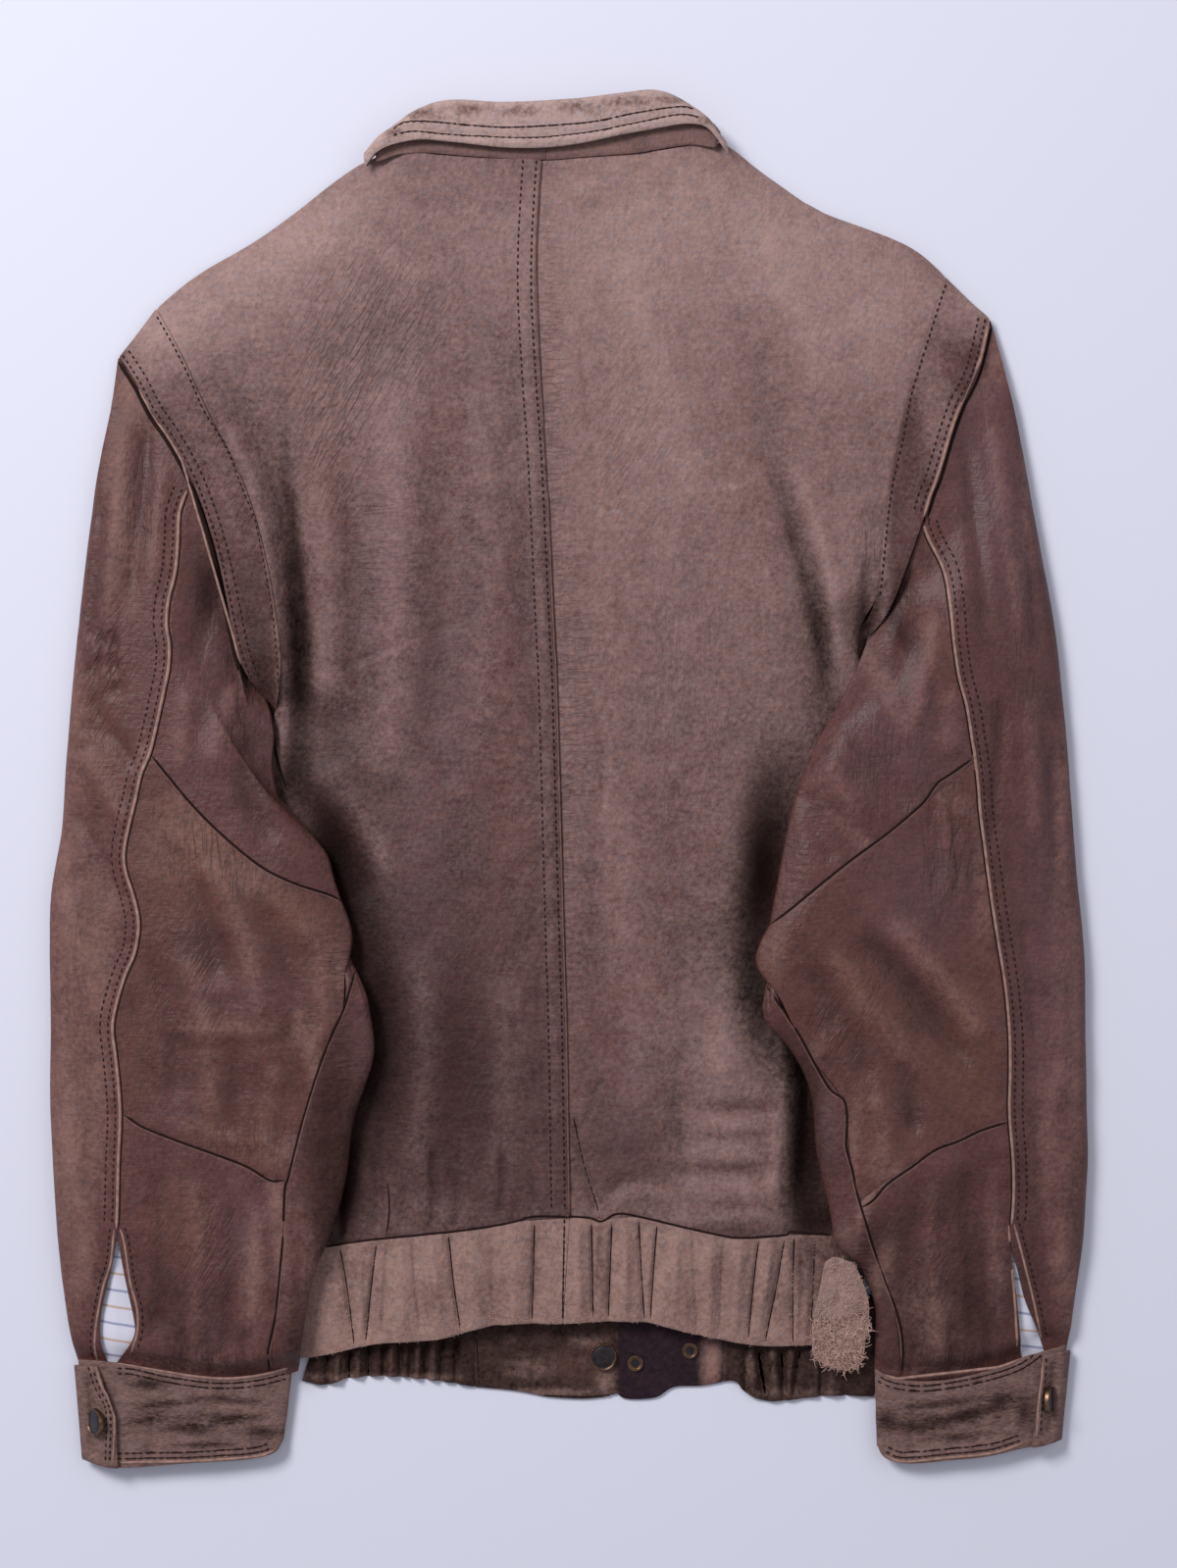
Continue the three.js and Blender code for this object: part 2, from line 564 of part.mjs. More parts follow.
// Front panels, hidden and plain, lying on the surface
const FRONT_COLUMNS = 8;
const FRONT_SIDE_ROWS = 8;
const FRONT_CLOSING = 633;
const FRONT_WAIST = 1300;
const flatHeight = () => WALL;
function addFront(name, topPoints, armholeRow, sidePoints, waistEnd, onLeft) {
  const side = samples(planCurve([...sidePoints.slice(1), waistEnd]), FRONT_SIDE_ROWS - 1);
  const edge = [...armholeRow, ...side];
  const closing = FRONT_CLOSING + (onLeft ? -1 : 1);
  const middle = samples(planCurve([[closing, 250], [closing, 760],
    [closing, FRONT_WAIST + 20]]), edge.length - 1);
  const top = samples(planCurve(topPoints), FRONT_COLUMNS);
  const bottom = samples(planCurve([waistEnd, [closing, FRONT_WAIST + 20]]), FRONT_COLUMNS);
  const grid = onLeft ? patch(top, bottom, edge, middle) : patch(top.reverse(), bottom.reverse(), middle, edge);
  addPanel(name, innerLeather, grid, flatHeight);
}
const inFrom = (row, x) => setBack(row, row.map(() => plan(x, 500)));
addFront("front_left", [[118, 363], [158, 318], [250, 254], [345, 186], [382, 176], [450, 215],
  [540, 243], [632, 250]],
  inFrom(leftArmholeRow, 580), LEFT_SIDE.map(([x, y]) => [x + 4, y]), [340, FRONT_WAIST], true);
addFront("front_right", [[1012, 325], [965, 285], [880, 234], [790, 188], [734, 168], [700, 210],
  [665, 240], [634, 250]],
  inFrom(rightArmholeRow, 580), RIGHT_SIDE.map(([x, y]) => [x - 4, y]), [842, FRONT_WAIST], false);

// Collar: the fall turned over at its top edge, the stand in two halves under it, and the front half below
const FALL_COLUMNS = 22;
const STAND_COLUMNS = 11;
const FALL_RISE = 4.4;
const foldLine = planCurve([[376, 150], [400, 131], [416, 118], [450, 104], [516, 105], [590, 101],
  [649, 94],
  [672, 93], [699, 105], [731, 128], [739, 134]]);
const freeLine = planCurve([[377, 166], [384, 156], [405, 149], [428, 145], [458, 147], [516, 153],
  [552, 153],
  [590, 149], [649, 137], [705, 129], [722, 133], [742, 150]]);
const neckLine = planCurve([[379, 164], [399, 156], [437, 158], [487, 162], [552, 165], [599, 162],
  [649, 158],
  [693, 151], [735, 147]]);
const neckHeight = (u) => bodyTop(neckLine.getPointAt(u));

// The fall in section: distance from the fold, as a share of its depth or in millimetres, and height
function fallSection(depth) {
  return [[depth, 0.2], [depth * 0.72, 0.9], [depth * 0.42, 0.8], [3.6, 0], [1, -1.8], [0, -3.4],
    [0.9, -5],
    [3.8, -6.2], [7, -6.5]];
}
function fallGrid(wallDepth) {
  return steps(FALL_COLUMNS).map((u) => {
    const fold = foldLine.getPointAt(u);
    const free = freeLine.getPointAt(u);
    const back = free.clone().sub(fold);
    const section = fallSection(back.length());
    back.normalize();
    const height = neckHeight(u) + FALL_RISE;
    return section.map(([run, rise], k) => {
      const before = section[Math.max(k - 1, 0)];
      const after = section[Math.min(k + 1, section.length - 1)];
      const tangent = new THREE.Vector2(after[0] - before[0], after[1] - before[1]).normalize();
      const p = fold.clone().addScaledVector(back, run - tangent.y * wallDepth);
      return p.setZ(height + rise + tangent.x * wallDepth);
    });
  });
}
addWall("collar_fall", suede, fallGrid(0), fallGrid(WALL));

function addStand(name, from, to) {
  const shares = steps(STAND_COLUMNS).map((u) => mix(from, to, u));
  const seam = shares.map((u) => neckLine.getPointAt(u));
  const upper = shares.map((u) => {
    const fold = foldLine.getPointAt(u);
    return fold.lerp(freeLine.getPointAt(u), 5.5 / fold.distanceTo(freeLine.getPointAt(u)));
  });
  const ends = [0, STAND_COLUMNS].map((i) => steps(2).map((v) => upper[i].clone().lerp(seam[i], v)));
  const grid = patch(upper, seam, ends[0], ends[1]);
  grid[2].forEach((p) => p.add(new THREE.Vector3(0, 0.6, 0)));
  const heights = shares.map(neckHeight);
  addPanel(name, darkLeather, grid, (p, u) => heights[Math.round(u * STAND_COLUMNS)] + 1);
}
addStand("collar_stand_left", 0.02, 0.5);
addStand("collar_stand_right", 0.5, 0.98);

function addCollarFront(name, neckPoints, upperPoints) {
  const neck = samples(planCurve(neckPoints), FRONT_COLUMNS);
  const upper = samples(planCurve(upperPoints), FRONT_COLUMNS);
  const ends = [0, FRONT_COLUMNS].map((i) => steps(2).map((v) => upper[i].clone().lerp(neck[i], v)));
  addPanel(name, innerLeather, patch(upper, neck, ends[0], ends[1]), flatHeight);
}
addCollarFront("collar_front_left", [[388, 174], [450, 210], [540, 238], [631, 245]],
  [[388, 160], [450, 132], [540, 128], [631, 124]]);
addCollarFront("collar_front_right", [[635, 245], [665, 235], [700, 203], [730, 166]],
  [[635, 124], [665, 120], [700, 122], [730, 148]]);

// Waistband: the gathered back halves, and the front seen from inside below them
const BAND_ROWS = 4;
const GATHER_DEPTH = -2.3;
const GATHER_WIDTH = 3.6;
const LEFT_GATHERS = [[345, 361], [384, 372], [396, 391], [424, 430], [457, 470], [500, 505], [545, 542]];
const RIGHT_GATHERS = [
  [603, 605], [624, 620], [651, 657], [672, 663], [706, 712], [738, 735], [774, 763], [801, 780],
  [818, 811], [833, 826],
];
const GATHER_TOP = 1262;
const GATHER_BOTTOM = 1362;
function gather(top, bottom, yTop, yBottom, depth) {
  return fold([[top, yTop], [bottom, yBottom]], depth, GATHER_WIDTH);
}
const backGathers = [...LEFT_GATHERS, ...RIGHT_GATHERS].map(([top, bottom]) =>
  gather(top, bottom, GATHER_TOP, GATHER_BOTTOM, GATHER_DEPTH),
);
const pile = (shapes, p) => shapes.reduce((sum, shape) => sum + shape(p), 0);

function addBand(name, material, top, bottom, left, right, columns, heightAt) {
  const [topLine, bottomLine] = [top, bottom].map((line) => samples(line, columns));
  const [leftLine, rightLine] = [left, right].map((points) => samples(planCurve(points), BAND_ROWS));
  addPanel(name, material, patch(topLine, bottomLine, leftLine, rightLine), heightAt);
}
const HEM_FALL = 2;
function backBandHeight(p, u, v) {
  return bodyTop(p) + pile(backGathers, p) * smooth(0, 0.2, v) - HEM_FALL * v * v;
}
const BAND_COLUMNS = 28;
const leftHem = planCurve([[300, 1388], [322, 1386], [380, 1372], [447, 1366], [505, 1352], [574, 1350]]);
const rightHem = planCurve([[574, 1350], [655, 1349], [713, 1362], [780, 1374], [833, 1373]]);
const bandLeft = [[327, 1273], [318, 1328], [300, 1388]];
const bandMiddle = [[581, 1239], [574, 1350]];
const bandRight = [[850, 1262], [838, 1313], [833, 1373]];
addBand(
  "waistband_back_left", bandSuede, leftWaist, leftHem, bandLeft, bandMiddle, BAND_COLUMNS, backBandHeight,
);
addBand(
  "waistband_back_right", bandSuede, rightWaist, rightHem, bandMiddle, bandRight, BAND_COLUMNS, backBandHeight,
);

const FRONT_GATHER_RISE = 1.8;
const FRONT_GATHER_BOTTOM = 1430;
const LEFT_FRONT_GATHERS = [322, 340, 362, 382, 398, 412, 424, 440, 456, 472];
const RIGHT_FRONT_GATHERS = [752, 768, 788, 806, 828, 850, 870];
const frontGathers = [...LEFT_FRONT_GATHERS, ...RIGHT_FRONT_GATHERS].map((x) =>
  gather(x, x, FRONT_WAIST, FRONT_GATHER_BOTTOM, FRONT_GATHER_RISE),
);
const gatheredFront = (p) => WALL + pile(frontGathers, p);
const FRONT_TOP = FRONT_WAIST + 24;
const LEFT_FRONT_COLUMNS = 24;
const RIGHT_FRONT_COLUMNS = 20;
const END_COLUMNS = 8;
function addFrontBand(name, material, bottom, left, right, columns, heightAt) {
  const top = planCurve([left[0], right[0]]);
  addBand(name, material, top, planCurve(bottom), left, right, columns, heightAt);
}
const leftFrontHem = [[306, 1412], [330, 1416], [351, 1410], [388, 1407], [447, 1412], [483, 1418]];
const leftEndHem = [[483, 1418], [530, 1423], [555, 1428], [605, 1430], [632, 1424]];
const rightEndHem = [[634, 1424], [642, 1430], [672, 1428], [686, 1419], [718, 1417], [738, 1413]];
const rightFrontHem = [[738, 1413], [751, 1412], [757, 1420], [780, 1432], [842, 1427], [884, 1428]];
const leftFrontSide = [[332, FRONT_TOP], [322, 1360], [306, 1412]];
const leftEndStart = [[483, FRONT_TOP], [483, 1418]];
const leftEndStop = [[632, FRONT_TOP], [632, 1424]];
const rightEndStart = [[634, FRONT_TOP], [634, 1424]];
const rightEndStop = [[738, FRONT_TOP], [738, 1413]];
const rightFrontSide = [[846, FRONT_TOP], [872, 1380], [884, 1428]];
addFrontBand(
  "waistband_front_left", innerLeather, leftFrontHem, leftFrontSide, leftEndStart,
  LEFT_FRONT_COLUMNS, gatheredFront,
);
addFrontBand(
  "waistband_left_end", innerLeather, leftEndHem, leftEndStart, leftEndStop, END_COLUMNS, flatHeight,
);
addFrontBand(
  "waistband_right_end", darkLeather, rightEndHem, rightEndStart, rightEndStop, END_COLUMNS, flatHeight,
);
addFrontBand(
  "waistband_front_right", innerLeather, rightFrontHem, rightEndStop, rightFrontSide,
  RIGHT_FRONT_COLUMNS, gatheredFront,
);

// Side tab: a strap end lying on the end of the back waistband
const TAB_WALL = 2.4;
const TAB_RISE = 12.6;
const TAB_FALL = 2.5;
const tabTop = samples(planCurve([[841, 1289], [848, 1283], [856, 1283], [868, 1290]]), 5);
const tabBottom = samples(planCurve([[829, 1382], [842, 1394], [858, 1398], [872, 1394]]), 5);
const tabLeft = samples(planCurve([[841, 1289], [835, 1318], [829, 1351], [829, 1382]]), 6);
const tabRight = samples(planCurve([[868, 1290], [880, 1328], [877, 1370], [872, 1394]]), 6);
const tabHeight = (p, u, v) => TAB_RISE - TAB_FALL * v * v;
addPanel("side_tab", suede, patch(tabTop, tabBottom, tabLeft, tabRight), tabHeight, TAB_WALL);

// Cuffs: closed bands with a tab over the slit's end
const CUFF_PLACES = [0, 0.02, 0.07, 0.16, 0.28, 0.42, 0.58, 0.72, 0.84, 0.93, 0.98];
const CUFF_ROWS = 4;
const CUFF_POWER = 3;
const TAB_GAP = 0.9;
const CUFF_TAB_WALL = 1.8;
function cuffSurface(topPoints, bottomPoints) {
  const top = planCurve(topPoints);
  const bottom = planCurve(bottomPoints);
  function surface(v, place) {
    const t = (place + 2) % 2;
    const w = t <= 1 ? t : 2 - t;
    const p = top.getPointAt(w).lerp(bottom.getPointAt(w), v);
    const upper = CUFF_EDGE + CUFF_CREST * rounded(w, CUFF_POWER);
    const lower = CUFF_EDGE * (1 - rounded(w, UNDERSIDE_POWER));
    return p.setZ(t <= 1 ? upper : lower);
  }
  surface.end = 1;
  return surface;
}
function addStud(name, radius, place, normal, profile) {
  const points = profile.map(([r, h]) => new THREE.Vector2(r * radius, h));
  const mesh = new THREE.Mesh(new THREE.LatheGeometry(points, 20), bronze);
  mesh.name = name;
  mesh.position.copy(place);
  mesh.quaternion.setFromUnitVectors(new THREE.Vector3(0, 1, 0), normal);
  jacket.add(mesh);
}
const CAP_PROFILE = [[0, 0], [1, 0], [1, 0.7], [0.84, 1.7], [0.66, 1.5], [0.4, STUD_HEIGHT],
  [0, STUD_HEIGHT]];
const RING_PROFILE = [[0, 0], [1, 0], [1, 0.7], [0.8, 1.4], [0.56, 1.1], [0.5, 0.5], [0, 0.5]];
const STUD_LIFT = 0.15;

function addCuff(side, topPoints, bottomPoints, turn, tabReach, studAt) {
  const surface = cuffSurface(topPoints, bottomPoints);
  const round = [...CUFF_PLACES, ...CUFF_PLACES.map((t) => t + 1)];
  const rows = steps(CUFF_ROWS).map((s) => ({ s, places: round }));
  addSurfaceWall(`cuff_${side}`, bandSuede, surface, rows, turn, [0, WALL], true);
  const tabRows = steps(CUFF_ROWS).map((s) => ({ s, places: steps(5).map((u) => u * tabReach(s)) }));
  const depths = [-TAB_GAP - CUFF_TAB_WALL, -TAB_GAP];
  addSurfaceWall(`cuff_tab_${side}`, bandSuede, surface, tabRows, turn, depths);
  const normal = outward(surface, studAt[0], studAt[1], turn);
  const place = surface(...studAt).addScaledVector(normal, TAB_GAP + CUFF_TAB_WALL + STUD_LIFT);
  addStud(`cuff_stud_${side}`, STUD_RADIUS, place, normal, CAP_PROFILE);
}
addCuff("left", [[78, 1394], [100, 1394], [137, 1398], [173, 1405], [220, 1410], [259, 1408],
  [297, 1400]],
  [[86, 1490], [113, 1497], [197, 1492], [259, 1488], [280, 1482], [288, 1470]], -1,
  (v) => mix(0.1, 0.17, smooth(0, 0.5, v)), [0.55, 0.075]);
addCuff("right", [[1089, 1379], [1062, 1383], [1040, 1391], [1017, 1400], [979, 1410], [940, 1414],
  [912, 1411],
  [893, 1403]], [[1080, 1470], [1062, 1475], [1045, 1477], [1012, 1485], [964, 1490], [921, 1493],
  [902, 1487],
  [895, 1476]], 1, (v) => mix(0.13, 0.15, v), [0.5, 0.075]);

const up = new THREE.Vector3(0, 0, 1);
const onBand = (x, y) => plan(x, y).setZ(WALL + STUD_LIFT);
addStud("waist_stud_cap", STUD_RADIUS, onBand(615, 1387), up, CAP_PROFILE);
addStud("waist_stud_ring_1", RING_STUD_RADIUS, onBand(648, 1394), up, RING_PROFILE);
addStud("waist_stud_ring_2", RING_STUD_RADIUS, onBand(704, 1381), up, RING_PROFILE);

// The origin is under the middle of the jacket's box
const box = new THREE.Box3().setFromObject(jacket);
const middle = box.getCenter(new THREE.Vector3());
jacket.position.set(-middle.x, -middle.y, -box.min.z);

export default jacket;
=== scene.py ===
"""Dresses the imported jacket: leather shells, creases, stitching, press studs, light and camera."""

import math
import random

import bmesh
import bpy
import numpy as np
from bpy.props import FloatProperty, PointerProperty
from mathutils import Matrix, Vector, noise
from mathutils.bvhtree import BVHTree


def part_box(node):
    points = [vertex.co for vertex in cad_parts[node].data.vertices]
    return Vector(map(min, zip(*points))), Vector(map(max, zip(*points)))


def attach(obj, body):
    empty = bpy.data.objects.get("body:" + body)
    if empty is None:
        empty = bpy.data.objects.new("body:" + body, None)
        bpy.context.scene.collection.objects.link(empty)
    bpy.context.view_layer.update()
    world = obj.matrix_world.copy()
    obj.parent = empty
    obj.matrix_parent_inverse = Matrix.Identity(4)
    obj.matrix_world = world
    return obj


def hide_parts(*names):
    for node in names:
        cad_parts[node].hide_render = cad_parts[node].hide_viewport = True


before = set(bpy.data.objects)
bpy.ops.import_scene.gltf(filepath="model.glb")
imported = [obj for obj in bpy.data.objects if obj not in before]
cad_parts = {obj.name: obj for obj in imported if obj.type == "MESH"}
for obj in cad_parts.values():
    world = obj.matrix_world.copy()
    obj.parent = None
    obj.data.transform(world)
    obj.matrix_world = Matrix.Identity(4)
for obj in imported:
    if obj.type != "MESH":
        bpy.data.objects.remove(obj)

bl_info = {
    "name": "Worn leather jacket",
    "version": (1, 0, 0),
    "blender": (4, 5, 0),
    "location": "3D View > Sidebar > Jacket",
    "description": "Dresses the packed jacket with leather, stitching and light",
    "category": "Object",
}

MM = 0.001

# The plan: seam lines below are written in plan points, 0.556 mm apart, x to the right and y down.
PLAN_POINT = 0.556 * MM
PLAN_X = 580.0
PLAN_Y = 794.95
VIEW_CENTRE = (600.0, 799.5)
VIEW_HEIGHT = 1599.0

CAMERA_HEIGHT = 1.6
CAMERA_AIM = 0.012
SENSOR = 36.0


def plan(x, y):
    """The place in metres of a plan point."""
    return (x - PLAN_X) * PLAN_POINT, (PLAN_Y - y) * PLAN_POINT


def path(*pairs):
    """A line of plan points as an array of places in metres."""
    return np.array([plan(x, y) for x, y in pairs])


def colour(red, green, blue):
    """A display colour of 0 to 255 as linear light."""
    parts = []
    for part in (red, green, blue):
        share = part / 255.0
        if share <= 0.04045:
            parts.append(share / 12.92)
        else:
            parts.append(((share + 0.055) / 1.055) ** 2.4)
    return tuple(parts)


# Seam lines, from the collar down.
CENTRE_SEAM = path(
    (552, 165), (549, 212), (547, 255), (547, 308), (552, 396), (557, 466), (562, 571), (566, 659),
    (568, 697), (575, 950), (578, 1050), (581, 1237),
)
ARMHOLE_LEFT = path(
    (118, 363), (137, 391), (153, 421), (169, 444), (184, 469), (196, 494), (207, 523), (216, 551),
    (224, 584), (230, 612), (237, 648), (244, 676), (253, 701),
)
ARMHOLE_RIGHT = path(
    (1012, 325), (1008, 342), (998, 378), (988, 400), (981, 413), (971, 440), (963, 467), (956, 490),
    (950, 505), (943, 528),
)
STRIP_LEFT = path(
    (158, 314), (180, 351), (198, 387), (212, 419), (234, 455), (251, 498), (264, 530), (273, 573),
    (282, 623), (287, 666), (288, 700),
)
STRIP_RIGHT = path(
    (965, 281), (956, 305), (946, 336), (935, 371), (925, 405), (917, 448), (908, 486), (902, 525),
    (898, 567), (894, 609),
)
PIPED_LEFT = path(
    (192, 501), (185, 523), (184, 551), (182, 584), (176, 612), (174, 637), (177, 659), (176, 684),
    (171, 709), (164, 741), (157, 769), (148, 791), (142, 818), (132, 861), (132, 885), (142, 918),
    (146, 942), (142, 970), (132, 994), (123, 1023), (119, 1047), (122, 1075), (125, 1104), (127, 1137),
    (125, 1185), (124, 1232), (123, 1251),
)
PIPED_RIGHT = path(
    (941, 527), (940, 534), (946, 551), (958, 575), (963, 594), (966, 625), (968, 655), (973, 690),
    (981, 721), (986, 751), (990, 775), (993, 801), (995, 828), (1000, 866), (1007, 918), (1014, 961),
    (1021, 1004), (1025, 1047), (1026, 1089), (1025, 1132), (1029, 1185), (1030, 1218), (1028, 1247),
)
UPPER_DIAGONAL_LEFT = path(
    (158, 771), (197, 818), (230, 851), (268, 882), (301, 899), (335, 911), (351, 919),
)
UPPER_DIAGONAL_RIGHT = path(
    (988, 774), (965, 790), (952, 799), (936, 820), (902, 849), (869, 873), (836, 899), (802, 928),
    (783, 943),
)
LOWER_DIAGONAL_LEFT = path(
    (130, 1135), (149, 1147), (182, 1160), (220, 1173), (254, 1186), (278, 1200), (293, 1200),
)
LOWER_DIAGONAL_RIGHT = path(
    (1024, 1142), (998, 1150), (974, 1161), (950, 1170), (926, 1187), (902, 1204), (888, 1220),
    (876, 1228),
)
INNER_SEAM_LEFT = path(
    (363, 989), (354, 1023), (339, 1056), (325, 1094), (313, 1132), (304, 1166), (296, 1199),
    (293, 1209), (291, 1256), (287, 1299), (282, 1342), (275, 1375), (274, 1397),
)
INNER_SEAM_RIGHT = path(
    (774, 995), (793, 1023), (812, 1051), (829, 1082), (845, 1109), (859, 1120), (862, 1142),
    (861, 1166), (867, 1189), (871, 1209), (876, 1228), (888, 1266), (902, 1304), (914, 1337),
    (920, 1366), (921, 1400),
)
BAND_TOP = path(
    (329, 1273), (363, 1267), (401, 1262), (447, 1257), (488, 1252), (522, 1246), (547, 1240),
    (597, 1241), (613, 1245), (630, 1237), (655, 1241), (697, 1251), (738, 1260), (759, 1262),
    (801, 1260), (807, 1257), (847, 1260),
)
COLLAR_STITCH_LOW = path(
    (402, 141), (422, 137), (458, 140), (516, 143), (552, 143), (605, 137), (649, 128), (693, 120),
    (716, 124),
)
COLLAR_STITCH_HIGH = path(
    (402, 134), (413, 128), (437, 127), (472, 130), (516, 133), (561, 131), (605, 127), (649, 118),
    (693, 112), (711, 115),
)
CUFF_TOP_LEFT = path((120, 1390), (137, 1391), (173, 1399), (220, 1405), (259, 1403), (295, 1395))
CUFF_BOTTOM_LEFT = path((120, 1494), (197, 1492), (259, 1488), (280, 1482))
CUFF_TOP_RIGHT = path(
    (895, 1397), (912, 1405), (940, 1408), (979, 1403), (1017, 1394), (1040, 1385), (1058, 1372),
)
CUFF_BOTTOM_RIGHT = path((902, 1487), (921, 1493), (964, 1489), (1012, 1484), (1045, 1474))


FOLD_LINES = [
    path((277, 742), (281, 772), (291, 806)),
    path((584, 1136), (596, 1190), (612, 1240)),
    path((395, 1204), (397, 1232), (394, 1262)),
]
SLIT_EDGES = [
    path((122, 1251), (118, 1285), (109, 1313), (101, 1351), (99, 1380), (101, 1392)),
    path((124, 1251), (128, 1265), (133, 1304), (140, 1332), (140, 1356), (133, 1378)),
    path((1028, 1247), (1032, 1290), (1036, 1330), (1039, 1374)),
    path((1030, 1247), (1038, 1275), (1050, 1320), (1057, 1350), (1062, 1368)),
]
TAB_EDGES = [
    path((97, 1392), (104, 1413), (115, 1432), (117, 1456), (115, 1494)),
    path((1063, 1378), (1062, 1404), (1058, 1437), (1057, 1466)),
]
BAND_CENTRE = path((578, 1243), (577, 1296), (576, 1350))
END_SEAM = path((479, 1362), (480, 1390), (482, 1420))
END_HEM = path((486, 1424), (540, 1430), (600, 1432), (626, 1430))


def crease(height, width, *pairs):
    """A soft ridge, or a trough where the height is negative: millimetres, and a line of plan points."""
    return height * MM, width * MM, path(*pairs)


BACK_CREASES = [
    crease(-2.2, 4.0, (226, 392), (251, 420), (273, 462), (286, 506), (297, 560), (304, 625), (307, 690),
           (303, 745), (296, 785)),
    crease(1.8, 4.5, (204, 388), (232, 430), (256, 484), (272, 545), (283, 612), (290, 684), (287, 745),
           (281, 800)),
    crease(1.6, 12.0, (322, 470), (330, 560), (338, 650), (336, 740)),
    crease(-1.4, 9.0, (352, 430), (362, 520), (366, 620), (360, 720)),
    crease(1.7, 12.0, (400, 370), (404, 460), (406, 560), (402, 700), (392, 820)),
    crease(-1.2, 10.0, (446, 420), (452, 540), (450, 660), (440, 780)),
    crease(1.0, 10.0, (492, 330), (498, 460), (500, 620), (492, 800)),
    crease(-1.5, 6.0, (300, 800), (330, 840), (360, 880), (382, 930)),
    crease(1.4, 7.0, (318, 772), (352, 812), (384, 856), (404, 912)),
    crease(-1.0, 8.0, (398, 980), (402, 1060), (396, 1140), (384, 1210)),
    crease(1.1, 9.0, (430, 960), (436, 1050), (432, 1140), (424, 1220)),
    crease(-0.9, 8.0, (470, 1000), (474, 1090), (468, 1180), (462, 1240)),
    crease(0.9, 9.0, (516, 960), (520, 1060), (516, 1160), (508, 1230)),
    crease(-2.0, 4.5, (788, 471), (804, 517), (823, 578), (836, 636), (844, 682), (842, 725)),
    crease(1.7, 5.0, (812, 470), (832, 530), (848, 590), (856, 650), (858, 700)),
    crease(-1.6, 3.5, (884, 560), (884, 610), (880, 660), (884, 690)),
    crease(1.2, 11.0, (640, 240), (660, 340), (690, 440), (730, 540)),
    crease(-1.0, 12.0, (610, 330), (630, 450), (660, 580), (700, 700)),
    crease(-1.2, 10.0, (720, 250), (760, 320), (790, 400), (806, 460)),
    crease(1.0, 10.0, (770, 230), (812, 300), (842, 380), (856, 450)),
    crease(1.1, 12.0, (620, 760), (640, 900), (650, 1040), (646, 1180)),
    crease(-1.1, 10.0, (680, 780), (700, 900), (706, 1030), (698, 1180)),
    crease(1.2, 9.0, (748, 780), (752, 900), (744, 1020), (730, 1140)),
    crease(-2.6, 5.0, (806, 930), (818, 1020), (826, 1110), (822, 1190), (812, 1250)),
    crease(1.8, 6.0, (786, 960), (796, 1040), (800, 1120), (792, 1200), (780, 1252)),
    crease(1.6, 5.0, (834, 1050), (846, 1120), (848, 1190), (838, 1250)),
    crease(-1.3, 2.6, (345, 1200), (346, 1236), (345, 1268)),
    crease(-1.6, 2.8, (383, 1176), (386, 1220), (384, 1262)),
    crease(-1.2, 2.4, (410, 1206), (412, 1234), (408, 1260)),
    crease(-1.7, 2.8, (442, 1166), (444, 1214), (440, 1258)),
    crease(-1.3, 2.4, (466, 1190), (468, 1224), (464, 1254)),
    crease(-1.5, 2.6, (512, 1170), (514, 1210), (508, 1248)),
    crease(-1.1, 2.4, (545, 1190), (546, 1216), (544, 1240)),
    crease(-1.5, 2.4, (584, 1136), (596, 1190), (612, 1240)),
    crease(1.3, 4.0, (620, 1232), (640, 1216), (664, 1214), (692, 1226)),
    crease(-0.9, 2.4, (614, 1222), (636, 1202), (666, 1200), (700, 1216)),
    crease(-0.7, 2.6, (670, 1124), (740, 1127), (808, 1130)),
    crease(-0.7, 2.6, (650, 1196), (730, 1190), (808, 1192)),
    crease(0.5, 3.6, (664, 1144), (740, 1145), (806, 1148)),
    crease(0.5, 3.6, (660, 1212), (740, 1209), (806, 1211)),
    crease(-0.8, 7.0, (420, 205), (470, 216), (530, 218)),
    crease(-0.9, 1.8, (343, 686), (390, 664), (432, 646), (485, 636)),
    crease(0.5, 2.2, (343, 692), (390, 670), (432, 652), (485, 642)),
    crease(-0.7, 1.8, (427, 907), (490, 905), (558, 907)),
    crease(0.7, 3.2, (535, 212), (535, 308), (540, 396), (545, 466), (550, 571),
           (554, 659), (563, 950), (569, 1230)),
    crease(-0.7, 1.8, (592, 330), (600, 420), (610, 500), (606, 580)),
    crease(-0.6, 1.8, (640, 300), (652, 380), (676, 450)),
    crease(-0.6, 1.8, (600, 690), (618, 760), (612, 840)),
    crease(-0.6, 1.6, (640, 560), (690, 552), (740, 566)),
    crease(-0.6, 1.6, (590, 640), (640, 648), (690, 640)),
    crease(-0.7, 1.6, (618, 1090), (606, 1120), (592, 1150)),
    crease(-0.6, 1.6, (470, 560), (500, 590), (540, 600)),
    crease(-0.6, 1.6, (390, 470), (430, 500), (452, 540)),
    crease(-0.8, 7.0, (580, 214), (640, 206), (700, 192)),
    crease(0.9, 8.0, (300, 262), (350, 250), (400, 262), (450, 300)),
    crease(-0.8, 7.0, (250, 290), (310, 300), (360, 330), (390, 380)),
]
